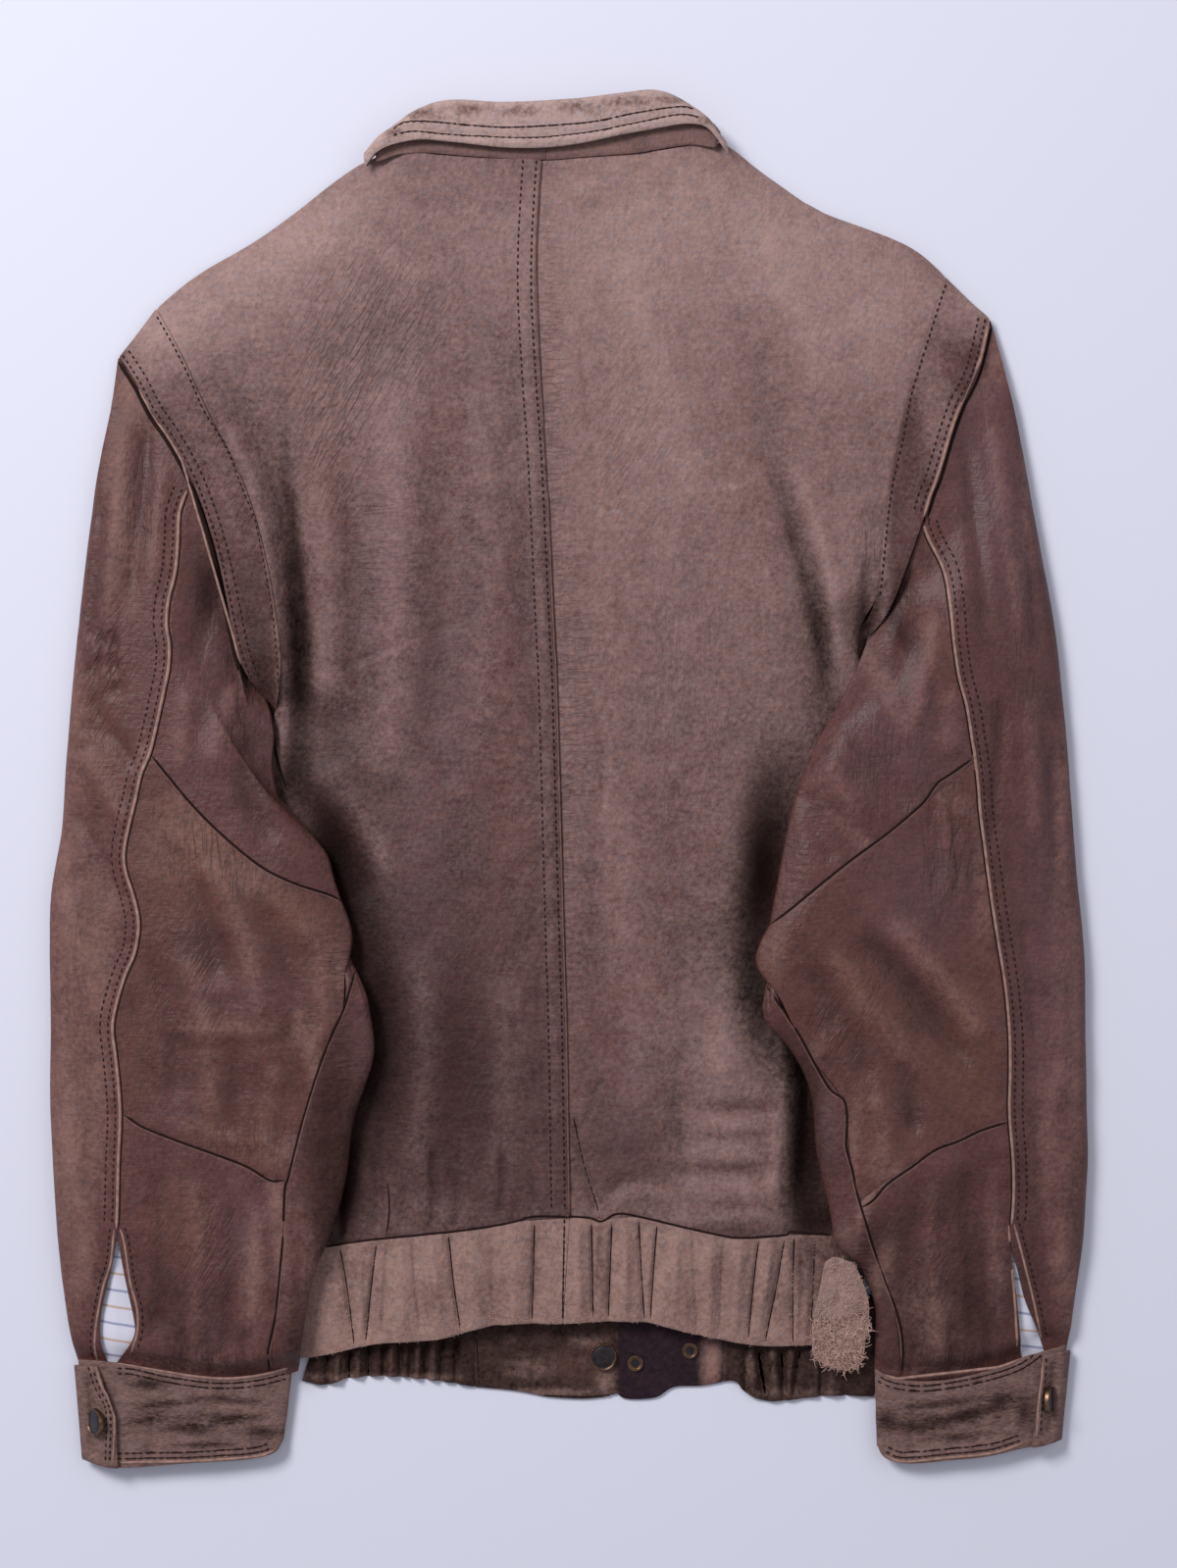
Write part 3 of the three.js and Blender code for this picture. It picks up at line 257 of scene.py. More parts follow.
LEFT_SLEEVE_CREASES = [
    crease(-1.3, 2.0, (84, 640), (102, 652), (124, 650)),
    crease(-1.3, 2.0, (80, 690), (104, 676), (128, 682)),
    crease(-1.3, 2.0, (92, 722), (108, 706), (132, 704)),
    crease(-1.3, 2.0, (100, 626), (106, 660), (98, 700)),
    crease(-1.3, 2.0, (120, 640), (116, 676), (126, 716)),
    crease(-1.3, 2.0, (78, 740), (100, 744), (118, 760)),
    crease(0.8, 2.2, (94, 664), (112, 664)), crease(0.8, 2.2, (110, 690), (124, 694)),
    crease(0.5, 5.0, (152, 1040), (200, 1048), (260, 1046), (316, 1036)),
    crease(-0.5, 3.2, (160, 1060), (210, 1066), (262, 1064), (306, 1056)),
    crease(-0.5, 3.0, (176, 1010), (230, 1022), (290, 1010)),
    crease(-1.7, 4.5, (152, 405), (148, 470), (141, 545), (134, 630)),
    crease(1.2, 5.0, (128, 420), (122, 500), (114, 590), (108, 660)),
    crease(-1.2, 4.0, (106, 500), (98, 580), (92, 660)),
    crease(1.2, 4.5, (168, 470), (162, 540), (156, 620)),
    crease(-1.9, 7.0, (226, 566), (218, 606), (206, 650), (198, 690)),
    crease(1.8, 6.0, (246, 690), (232, 740), (214, 786)),
    crease(-1.6, 5.0, (262, 742), (250, 790), (262, 830), (290, 862)),
    crease(1.5, 5.0, (196, 700), (190, 748), (186, 790)),
    crease(-1.6, 4.0, (90, 716), (110, 740), (132, 770), (144, 788)),
    crease(1.3, 5.0, (80, 760), (100, 790), (122, 824), (134, 850)),
    crease(-1.3, 4.5, (72, 820), (92, 850), (112, 890), (124, 920)),
    crease(1.2, 5.0, (66, 900), (80, 960), (100, 1010), (112, 1050)),
    crease(-1.2, 4.5, (62, 1000), (76, 1070), (92, 1130), (104, 1180)),
    crease(1.0, 5.0, (66, 1120), (78, 1190), (88, 1260), (96, 1330)),
    crease(-2.0, 5.5, (166, 850), (196, 896), (220, 950), (230, 1010)),
    crease(1.9, 6.5, (206, 866), (240, 920), (262, 980), (268, 1050)),
    crease(-1.7, 5.0, (262, 910), (290, 956), (304, 1010), (300, 1070)),
    crease(1.5, 5.5, (310, 930), (332, 976), (336, 1030), (322, 1080)),
    crease(-1.5, 5.0, (150, 960), (172, 1010), (184, 1070), (180, 1130)),
    crease(1.4, 6.0, (186, 960), (210, 1020), (220, 1090), (214, 1150)),
    crease(-1.4, 4.5, (244, 1060), (246, 1110), (238, 1160)),
    crease(1.1, 5.0, (286, 1080), (278, 1130), (268, 1176)),
    crease(-1.6, 4.5, (160, 1180), (170, 1240), (168, 1310), (160, 1372)),
    crease(1.2, 5.0, (200, 1190), (206, 1260), (204, 1330), (196, 1388)),
    crease(-1.3, 4.5, (240, 1206), (242, 1270), (236, 1340), (230, 1392)),
    crease(1.0, 4.5, (270, 1220), (266, 1290), (258, 1360)),
    crease(-1.2, 3.0, (186, 1350), (190, 1376), (188, 1402)),
    crease(-1.2, 3.0, (214, 1356), (216, 1380), (214, 1404)),
    crease(-1.2, 3.0, (254, 1350), (252, 1376), (252, 1402)),
]
RIGHT_SLEEVE_CREASES = [
    crease(-1.5, 4.5, (982, 430), (990, 500), (998, 580), (1006, 660)),
    crease(1.2, 5.0, (1008, 400), (1020, 480), (1030, 570), (1040, 660)),
    crease(-1.1, 4.0, (1040, 500), (1050, 580), (1058, 670)),
    crease(-2.4, 6.0, (930, 570), (920, 620), (908, 670), (896, 720)),
    crease(1.8, 6.0, (950, 610), (946, 660), (936, 710), (924, 760)),
    crease(-1.6, 5.0, (860, 730), (880, 770), (904, 806), (930, 826)),
    crease(1.5, 5.5, (838, 770), (856, 806), (880, 836)),
    crease(-1.4, 5.0, (818, 800), (830, 846), (846, 884)),
    crease(1.2, 5.0, (966, 700), (968, 740), (964, 776)),
    crease(-1.5, 4.5, (1020, 700), (1018, 760), (1012, 820), (1010, 870)),
    crease(1.2, 5.0, (1050, 700), (1054, 780), (1054, 860)),
    crease(-1.2, 4.5, (1072, 760), (1076, 840), (1078, 920)),
    crease(-1.2, 4.5, (1040, 930), (1050, 1000), (1056, 1070)),
    crease(1.1, 5.0, (1078, 960), (1082, 1050), (1082, 1130)),
    crease(-1.1, 4.5, (1052, 1120), (1060, 1190), (1064, 1260)),
    crease(1.0, 5.0, (1086, 1160), (1086, 1240), (1080, 1310)),
    crease(-2.8, 6.0, (872, 946), (910, 990), (950, 1040), (992, 1096)),
    crease(2.0, 7.0, (900, 930), (940, 976), (976, 1024), (1006, 1066)),
    crease(1.6, 6.0, (838, 960), (872, 1010), (908, 1056), (946, 1106)),
    crease(-2.0, 5.0, (916, 1074), (926, 1110), (930, 1160)),
    crease(-1.5, 5.0, (822, 980), (846, 1026), (874, 1072), (888, 1110)),
    crease(1.4, 5.0, (890, 1110), (900, 1150), (900, 1190)),
    crease(-1.2, 3.0, (946, 806), (950, 860), (948, 920)),
    crease(-1.0, 2.6, (966, 800), (972, 860), (972, 926)),
    crease(1.0, 3.0, (958, 806), (962, 866), (960, 926)),
    crease(-1.0, 2.6, (984, 830), (990, 890), (994, 950)),
    crease(-1.5, 4.5, (986, 1170), (984, 1240), (990, 1310), (994, 1380)),
    crease(1.2, 5.0, (950, 1190), (946, 1260), (954, 1330), (960, 1400)),
    crease(-1.3, 4.5, (916, 1230), (922, 1300), (934, 1360), (938, 1402)),
    crease(1.0, 4.0, (1012, 1180), (1010, 1250), (1016, 1320)),
    crease(-1.2, 3.0, (970, 1350), (972, 1378), (970, 1402)),
    crease(-1.2, 3.0, (1004, 1344), (1008, 1370), (1010, 1394)),
]
BAND_CREASES = [
    crease(-0.99, 1.3, (345, 1270), (352, 1310), (361, 1376)),
    crease(-1.12, 1.3, (384, 1264), (378, 1312), (372, 1372)),
    crease(-0.74, 1.3, (396, 1262), (392, 1310), (389, 1370)),
    crease(-0.62, 1.3, (420, 1260), (424, 1310), (430, 1366)),
    crease(-1.05, 1.3, (457, 1256), (462, 1308), (470, 1362)),
    crease(-0.56, 1.3, (500, 1250), (502, 1300), (505, 1352)),
    crease(-0.99, 1.3, (545, 1242), (544, 1296), (542, 1350)),
    crease(-1.05, 1.3, (603, 1243), (604, 1296), (605, 1350)),
    crease(-0.74, 1.3, (613, 1248), (610, 1296), (609, 1330)),
    crease(-1.05, 1.3, (624, 1242), (622, 1296), (620, 1350)),
    crease(-0.99, 1.3, (651, 1242), (654, 1296), (657, 1349)),
    crease(-0.87, 1.3, (670, 1246), (666, 1300), (663, 1350)),
    crease(-0.62, 1.3, (706, 1254), (709, 1306), (712, 1360)),
    crease(-0.62, 1.3, (738, 1260), (736, 1312), (735, 1364)),
    crease(-1.12, 1.3, (774, 1262), (768, 1316), (763, 1370)),
    crease(-1.05, 1.3, (801, 1260), (792, 1316), (780, 1372)),
    crease(-0.87, 1.3, (810, 1258), (809, 1316), (809, 1374)),
    crease(-0.74, 1.3, (817, 1260), (818, 1314), (817, 1372)),
    crease(-0.87, 1.3, (832, 1262), (830, 1310), (828, 1370)),
    crease(0.62, 2.4, (364, 1268), (368, 1316), (366, 1374)),
    crease(0.56, 2.4, (408, 1262), (410, 1310), (410, 1368)),
    crease(0.56, 2.6, (438, 1258), (444, 1306), (450, 1364)),
    crease(0.56, 3.0, (478, 1254), (482, 1304), (488, 1358)),
    crease(0.56, 3.0, (522, 1248), (524, 1298), (524, 1350)),
    crease(0.62, 2.4, (590, 1242), (590, 1296), (592, 1350)),
    crease(0.62, 2.2, (637, 1240), (638, 1296), (638, 1350)),
    crease(0.56, 2.6, (690, 1252), (688, 1304), (686, 1355)),
    crease(0.56, 2.8, (722, 1258), (724, 1310), (724, 1362)),
    crease(0.62, 2.8, (756, 1262), (752, 1314), (750, 1368)),
    crease(0.62, 2.4, (788, 1261), (780, 1316), (772, 1372)),
]
FRONT_BAND_CREASES = [
    crease(-1.5, 1.5, (331, 1380), (332, 1420)), crease(-1.6, 1.5, (355, 1376), (354, 1416)),
    crease(-1.5, 1.4, (374, 1370), (374, 1414)), crease(-1.5, 1.4, (390, 1366), (390, 1414)),
    crease(-1.6, 1.4, (407, 1366), (407, 1416)), crease(-1.4, 1.4, (418, 1364), (417, 1416)),
    crease(-1.5, 1.4, (432, 1362), (433, 1417)), crease(-1.6, 1.5, (449, 1362), (449, 1418)),
    crease(-1.5, 1.5, (464, 1358), (464, 1422)), crease(-1.5, 1.5, (760, 1368), (762, 1426)),
    crease(-1.8, 2.2, (772, 1372), (784, 1436)), crease(-1.6, 1.8, (798, 1374), (801, 1436)),
    crease(-1.8, 2.2, (818, 1374), (808, 1434)), crease(-1.5, 1.6, (840, 1392), (838, 1434)),
    crease(-1.5, 1.6, (862, 1396), (864, 1434)), crease(0.9, 1.8, (343, 1378), (343, 1418)),
    crease(0.9, 1.6, (365, 1374), (364, 1414)), crease(0.9, 1.6, (398, 1368), (398, 1414)),
    crease(0.9, 1.6, (425, 1364), (425, 1416)), crease(0.9, 1.8, (441, 1362), (441, 1417)),
    crease(1.2, 2.4, (808, 1376), (806, 1432)), crease(1.2, 2.4, (788, 1374), (794, 1434)),
    crease(1.0, 2.4, (850, 1394), (850, 1434)),
]
CUFF_CREASES = [
    crease(-0.8, 2.6, (150, 1396), (156, 1444), (152, 1492)),
    crease(0.7, 3.4, (186, 1402), (190, 1446), (188, 1490)),
    crease(-0.7, 2.6, (224, 1405), (222, 1448), (226, 1490)),
    crease(0.6, 3.0, (254, 1404), (252, 1446), (250, 1488)),
    crease(-0.6, 3.6, (130, 1440), (190, 1450), (260, 1446)),
    crease(-0.8, 2.6, (930, 1406), (934, 1448), (930, 1490)),
    crease(0.7, 3.2, (962, 1406), (964, 1446), (962, 1488)),
    crease(-0.7, 2.6, (996, 1400), (1000, 1442), (998, 1484)),
    crease(-0.6, 3.6, (905, 1446), (970, 1452), (1040, 1432)),
]
TAB_CREASES = [
    crease(1.2, 2.4, (101, 1392), (107, 1413), (112, 1440), (112, 1490)),
    crease(-1.6, 3.0, (88, 1396), (93, 1428), (94, 1470), (92, 1494)),
    crease(1.2, 2.2, (1064, 1380), (1063, 1404), (1060, 1437), (1059, 1466)),
    crease(-1.6, 3.0, (1078, 1380), (1074, 1420), (1073, 1470)),
]
SIDE_TAB_CREASES = [
    crease(-1.0, 2.4, (832, 1346), (856, 1352), (888, 1340)),
    crease(1.2, 4.0, (846, 1300), (862, 1322), (880, 1330)),
    crease(0.9, 4.0, (838, 1370), (858, 1380), (876, 1372)),
    crease(-0.8, 2.0, (852, 1290), (856, 1316), (850, 1336)),
]
COLLAR_CREASES = [
    crease(0.6, 3.0, (384, 152), (430, 141), (516, 149), (600, 143), (680, 125), (730, 136)),
    crease(-0.5, 1.6, (402, 141), (422, 137), (458, 140), (516, 143), (552, 143), (605, 137), (649, 128),
           (693, 120), (716, 124)),
    crease(-0.5, 3.0, (470, 108), (474, 128), (472, 148)),
    crease(-0.5, 3.0, (620, 100), (616, 122), (620, 142)),
]

# Tints: display colours of the leather's finish, of the paler skin where the finish is rubbed off, and of
# painted shade and painted sheen laid over them.
SLEEVE_BROWN = colour(78, 42, 41)
ELBOW_BROWN = colour(81, 46, 41)
BACK_LEFT_BROWN = colour(68, 37, 38)
BACK_RIGHT_BROWN = colour(82, 50, 46)
STRIP_BROWN = colour(66, 32, 30)
COLLAR_BROWN = colour(100, 72, 66)
BAND_BROWN = colour(78, 50, 45)
CUFF_BROWN = colour(48, 28, 27)
INNER_BROWN = colour(32, 17, 17)
STAND_BROWN = colour(104, 78, 76)
UNDERLAP_BROWN = colour(32, 21, 33)
TAB_BROWN = colour(110, 80, 72)
SKIN_BACK = colour(166, 137, 133)
SKIN_SLEEVE = colour(152, 117, 109)
SKIN_BAND = colour(162, 130, 122)
SKIN_CUFF = colour(140, 112, 106)
SKIN_COLLAR = colour(178, 152, 147)
SKIN_TAB = colour(164, 135, 129)
EDGE_PALE = colour(152, 120, 109)
EDGE_MIDDLE = colour(116, 86, 77)
# Painted shade of grooves, folds and gathers, with the dark gap of seams, laid on thin dark tubes.
GROOVE_SHADE_BROWN = colour(32, 16, 13)
# Painted deep shade beside the sleeves, along folds, under the waistband's edge and in troughs; in the lower
# right of the back it is also darker leather tone.
DEEP_SHADE_AND_TONE = colour(16, 8, 8)
# Painted shade beside the sleeves, in the gathers and in creases, mixed with darker leather tone in places.
DARK_SHADE_AND_TONE = colour(42, 22, 22)
# Painted sheen: the cool reflection of the sky on the leather, in soft streaks.
COOL_SHEEN = colour(88, 57, 65)
WARM_BROWN = colour(96, 56, 43)


def patch(tint, share, x, y, half_width, half_height, turn=0.0):
    """A soft elliptical patch of tint at a plan point, its half sizes in plan points, turned in degrees."""
    return tint, share, plan(x, y), half_width * PLAN_POINT, half_height * PLAN_POINT, math.radians(turn)


def wear(share, x, y, half_width, half_height, turn=0.0):
    """A soft elliptical patch where this share of the finish is rubbed off."""
    return share, plan(x, y), half_width * PLAN_POINT, half_height * PLAN_POINT, math.radians(turn)


def crimp(way, share, x, y, half_width, half_height, turn=0.0):
    """A patch of fine wrinkles that run across (0), on the slant (1) or upright (2)."""
    return way, wear(share, x, y, half_width, half_height, turn)


ACROSS, SLANT, UPRIGHT = 0, 1, 2

# The deep and dark patches here are painted shade beside the sleeves, along the folds and in hollows, with
# darker leather tone in the lower right; the cool patches are painted sheen, the warm ones leather tone.
BACK_PATCHES = [
    patch(DEEP_SHADE_AND_TONE, 0.98, 838, 1180, 40, 150), patch(DARK_SHADE_AND_TONE, 0.45, 648, 1160, 56, 70),
    patch(DARK_SHADE_AND_TONE, 0.5, 750, 1256, 80, 18), patch(DEEP_SHADE_AND_TONE, 0.97, 836, 1236, 36, 52),
    patch(WARM_BROWN, 0.45, 330, 470, 60, 160, 6),
    patch(COOL_SHEEN, 0.6, 400, 560, 44, 220, 4),
    patch(WARM_BROWN, 0.4, 452, 500, 30, 170),
    patch(COOL_SHEEN, 0.5, 470, 680, 40, 200, -2),
    patch(WARM_BROWN, 0.4, 516, 800, 34, 240),
    patch(COOL_SHEEN, 0.45, 430, 880, 34, 150),
    patch(DARK_SHADE_AND_TONE, 0.55, 350, 800, 40, 130, 10),
    patch(DARK_SHADE_AND_TONE, 0.75, 372, 960, 46, 170, 6),
    patch(DARK_SHADE_AND_TONE, 0.55, 420, 1080, 70, 140),
    patch(DARK_SHADE_AND_TONE, 0.4, 500, 1120, 60, 130),
    patch(DEEP_SHADE_AND_TONE, 0.95, 338, 880, 36, 123, 14),
    patch(DEEP_SHADE_AND_TONE, 0.80, 380, 1060, 31, 157, 0),
    patch(DEEP_SHADE_AND_TONE, 0.90, 350, 1190, 31, 112, -6),
    patch(DEEP_SHADE_AND_TONE, 0.85, 300, 560, 13, 190, 5),
    patch(DEEP_SHADE_AND_TONE, 0.90, 306, 690, 16, 134),
    patch(DEEP_SHADE_AND_TONE, 0.90, 296, 790, 21, 45, -10),
    patch(DARK_SHADE_AND_TONE, 0.7, 264, 640, 24, 90, 6),
    patch(DEEP_SHADE_AND_TONE, 0.50, 268, 690, 21, 45),
    patch(DEEP_SHADE_AND_TONE, 0.60, 815, 560, 16, 134, 16),
    patch(DEEP_SHADE_AND_TONE, 0.85, 838, 655, 18, 90, 10),
    patch(DEEP_SHADE_AND_TONE, 0.85, 884, 645, 17, 49),
    patch(DARK_SHADE_AND_TONE, 0.7, 838, 720, 30, 60, 16),
    patch(DARK_SHADE_AND_TONE, 0.7, 790, 810, 34, 90, -14),
    patch(DEEP_SHADE_AND_TONE, 0.97, 774, 900, 44, 146, -8),
    patch(DEEP_SHADE_AND_TONE, 0.97, 776, 1010, 49, 101, 24),
    patch(DEEP_SHADE_AND_TONE, 0.97, 806, 1080, 39, 112, 20),
    patch(DEEP_SHADE_AND_TONE, 0.97, 816, 1180, 22, 123, 0),
    patch(DARK_SHADE_AND_TONE, 0.9, 842, 1190, 26, 110, 0),
    patch(COOL_SHEEN, 0.4, 690, 720, 60, 160),
    patch(WARM_BROWN, 0.35, 620, 520, 50, 180),
    patch(WARM_BROWN, 0.35, 760, 520, 36, 120, 10),
    patch(COOL_SHEEN, 0.5, 640, 1120, 50, 90),
    patch(DARK_SHADE_AND_TONE, 0.35, 600, 1190, 40, 60),
    patch(DARK_SHADE_AND_TONE, 0.5, 690, 1150, 10, 60, 4),
    patch(DARK_SHADE_AND_TONE, 0.4, 600, 900, 20, 160),
]
BACK_WEAR = [
    wear(0.42, 400, 380, 190, 190), wear(0.88, 290, 255, 220, 110, 30), wear(0.85, 180, 330, 70, 60, 40),
    wear(0.62, 480, 240, 110, 120), wear(0.5, 360, 400, 110, 80), wear(0.3, 460, 470, 60, 120),
    wear(0.06, 430, 1080, 190, 230), wear(0.25, 430, 1236, 70, 24), wear(0.3, 340, 1246, 30, 24),
    wear(0.84, 640, 250, 130, 150), wear(0.9, 790, 240, 160, 110, -24),
    wear(0.85, 890, 320, 80, 90, -30),
    wear(0.66, 640, 440, 110, 170), wear(0.3, 700, 860, 130, 190), wear(0.15, 640, 1090, 90, 190),
    wear(0.5, 730, 1050, 80, 70), wear(0.5, 745, 1185, 100, 120), wear(0.62, 764, 1146, 62, 15),
    wear(0.66, 746, 1172, 84, 12), wear(0.62, 764, 1211, 62, 13), wear(0.6, 738, 1242, 80, 10),
    wear(0.16, 764, 1128, 60, 9), wear(0.14, 752, 1191, 78, 9), wear(0.2, 760, 1227, 56, 7),
    wear(0.24, 748, 1158, 60, 5), wear(0.45, 650, 1224, 30, 14), wear(0.9, 740, 497, 26, 3, 8),
    wear(0.9, 634, 178, 9, 3, 30), wear(0.8, 781, 585, 3, 12), wear(0.85, 160, 330, 34, 40, 30),
    wear(0.3, 215, 470, 24, 110, 24), wear(0.85, 985, 310, 40, 40), wear(0.5, 955, 420, 24, 110, 14),
    wear(0.5, 866, 520, 16, 130), wear(0.5, 900, 560, 10, 90), wear(0.3, 786, 1184, 22, 70),
    wear(0.12, 644, 1170, 52, 66), wear(0.2, 744, 1256, 76, 14),
    # These shares of 0.0 keep the finish whole under the painted shade and dark tone beside the sleeves, so
    # no paler skin shows there.
    wear(0.0, 836, 1190, 44, 140), wear(0.0, 776, 884, 42, 112), wear(0.0, 338, 896, 44, 110),
    wear(0.0, 346, 1222, 30, 70),
]
BACK_CRIMPS = [
    crimp(SLANT, 0.9, 380, 330, 110, 110), crimp(SLANT, 0.8, 350, 450, 60, 110),
    crimp(ACROSS, 0.5, 390, 560, 70, 120), crimp(ACROSS, 0.9, 560, 420, 22, 300),
    crimp(ACROSS, 0.6, 572, 900, 18, 330),
    crimp(SLANT, 0.5, 640, 440, 70, 140), crimp(UPRIGHT, 0.5, 700, 700, 80, 240),
    crimp(UPRIGHT, 0.6, 880, 560, 30, 110),
    crimp(SLANT, 0.6, 240, 500, 24, 160, 20), crimp(ACROSS, 0.7, 590, 690, 24, 200),
]
# The deep and dark patches here are painted shade in the troughs and beside the body, with some darker
# leather tone; the cool patches are painted sheen, the warm ones leather tone.
SLEEVE_PATCHES = [
    patch(COOL_SHEEN, 0.35, 220, 740, 50, 90, 10),
    patch(DEEP_SHADE_AND_TONE, 0.75, 214, 606, 20, 60, 14),
    patch(DEEP_SHADE_AND_TONE, 0.6, 250, 690, 12, 40, 14),
    patch(DARK_SHADE_AND_TONE, 0.5, 262, 800, 30, 60),
    patch(WARM_BROWN, 0.4, 110, 740, 36, 90),
    patch(DARK_SHADE_AND_TONE, 0.45, 190, 1330, 60, 70),
    patch(WARM_BROWN, 0.5, 190, 1250, 46, 50),
    patch(COOL_SHEEN, 0.5, 250, 1250, 34, 60),
    patch(COOL_SHEEN, 0.4, 215, 1360, 24, 30),
    patch(DEEP_SHADE_AND_TONE, 0.66, 338, 1180, 44, 200),
    patch(DEEP_SHADE_AND_TONE, 0.6, 300, 1360, 14, 50),
    patch(COOL_SHEEN, 0.5, 374, 1060, 16, 60),
    patch(COOL_SHEEN, 0.8, 1020, 520, 50, 190, 10),
    patch(DEEP_SHADE_AND_TONE, 0.6, 918, 640, 14, 60, 24),
    patch(COOL_SHEEN, 0.75, 915, 750, 80, 80),
    patch(WARM_BROWN, 0.35, 960, 700, 20, 60),
    patch(COOL_SHEEN, 0.7, 1065, 960, 40, 260),
    patch(DARK_SHADE_AND_TONE, 0.7, 965, 1320, 110, 110),
    patch(WARM_BROWN, 0.2, 960, 1290, 40, 70),
    patch(DARK_SHADE_AND_TONE, 0.8, 824, 1120, 30, 100, 20),
    patch(COOL_SHEEN, 0.5, 846, 1140, 14, 50),
    patch(DARK_SHADE_AND_TONE, 0.5, 880, 1330, 18, 60),
]
SLEEVE_WEAR = [
    wear(0.54, 136, 400, 30, 50, 30), wear(0.39, 126, 520, 20, 110, 6), wear(0.39, 74, 700, 14, 160, 4),
    wear(0.49, 66, 930, 20, 200), wear(0.44, 100, 960, 30, 120), wear(0.54, 66, 1150, 26, 160),
    wear(0.49, 96, 1130, 26, 120),
    wear(0.44, 80, 1290, 20, 80, -8), wear(0.44, 150, 780, 10, 40), wear(0.54, 286, 1240, 12, 140, 4),
    wear(0.49, 262, 1300, 16, 70), wear(0.44, 190, 1390, 70, 10), wear(0.54, 318, 1290, 14, 90, 8),
    wear(0.44, 1010, 370, 22, 50, -14), wear(0.34, 1046, 520, 12, 130, -6),
    wear(0.36, 1086, 800, 14, 200, -4),
    wear(0.44, 1096, 1060, 16, 200), wear(0.39, 1066, 1150, 20, 100), wear(0.49, 1086, 1300, 20, 70, 10),
    wear(0.59, 876, 1240, 8, 90, -14), wear(0.54, 900, 1290, 14, 60, -16),
    wear(0.49, 945, 1340, 30, 50, 30),
    wear(0.44, 1016, 1290, 12, 60), wear(0.44, 950, 1400, 60, 8), wear(0.54, 862, 1262, 14, 16),
    wear(0.39, 880, 860, 60, 8, -40), wear(0.44, 900, 700, 12, 60, 24),
]
SLEEVE_CRIMPS = [
    crimp(SLANT, 0.9, 105, 680, 40, 100), crimp(UPRIGHT, 0.6, 140, 520, 26, 130),
    crimp(UPRIGHT, 0.5, 240, 720, 50, 90),
    crimp(UPRIGHT, 0.6, 80, 1000, 36, 160), crimp(UPRIGHT, 0.9, 210, 1385, 90, 26),
    crimp(SLANT, 0.7, 210, 1280, 60, 90),
    crimp(UPRIGHT, 0.6, 900, 780, 70, 80), crimp(UPRIGHT, 0.5, 1040, 700, 30, 200),
    crimp(UPRIGHT, 0.8, 960, 1385, 90, 26),
    crimp(SLANT, 0.6, 950, 1290, 60, 80), crimp(ACROSS, 0.6, 350, 1060, 20, 80),
    crimp(ACROSS, 0.6, 880, 1270, 16, 80),
]
# The dark and deep patches here are painted shade in the creases; the cool patches are painted sheen, the
# warm ones leather tone.
ELBOW_PATCHES = [
    patch(WARM_BROWN, 0.6, 200, 870, 60, 70, -20),
    patch(DARK_SHADE_AND_TONE, 0.3, 230, 960, 70, 36),
    patch(COOL_SHEEN, 0.5, 250, 1010, 80, 24),
    patch(DARK_SHADE_AND_TONE, 0.25, 210, 1090, 70, 40),
    patch(COOL_SHEEN, 0.45, 180, 1130, 30, 24),
    patch(WARM_BROWN, 0.4, 300, 930, 40, 30),
    patch(COOL_SHEEN, 0.75, 936, 908, 70, 72),
    patch(DARK_SHADE_AND_TONE, 0.4, 930, 1010, 24, 110, 42),
    patch(DEEP_SHADE_AND_TONE, 0.3, 926, 1120, 14, 50),
    patch(WARM_BROWN, 0.5, 880, 1000, 40, 80, 40),
    patch(WARM_BROWN, 0.6, 980, 1080, 40, 70),
    patch(DARK_SHADE_AND_TONE, 0.25, 830, 980, 26, 70, 30),
]
ELBOW_WEAR = [
    wear(0.40, 190, 850, 50, 60, -30), wear(0.40, 250, 890, 60, 20, -30),
    wear(0.40, 345, 980, 14, 60, 16),
    wear(0.45, 322, 1080, 12, 70, 18), wear(0.40, 290, 1170, 30, 22), wear(0.30, 220, 1150, 70, 10, -16),
    wear(0.35, 240, 1046, 80, 8), wear(0.40, 830, 1070, 10, 60, -36), wear(0.40, 868, 1170, 8, 60, -6),
    wear(0.35, 960, 810, 40, 14, -40), wear(0.30, 1000, 900, 14, 90), wear(0.35, 900, 1190, 30, 16, -30),
    wear(0.30, 790, 960, 12, 40),
]
ELBOW_CRIMPS = [
    crimp(UPRIGHT, 1.0, 225, 870, 70, 50, -30), crimp(ACROSS, 1.0, 346, 985, 22, 60, 10),
    crimp(UPRIGHT, 0.8, 250, 1160, 70, 30),
    crimp(UPRIGHT, 0.9, 965, 860, 40, 100), crimp(SLANT, 0.6, 200, 1000, 60, 80),
    crimp(SLANT, 0.7, 860, 1040, 50, 80),
]
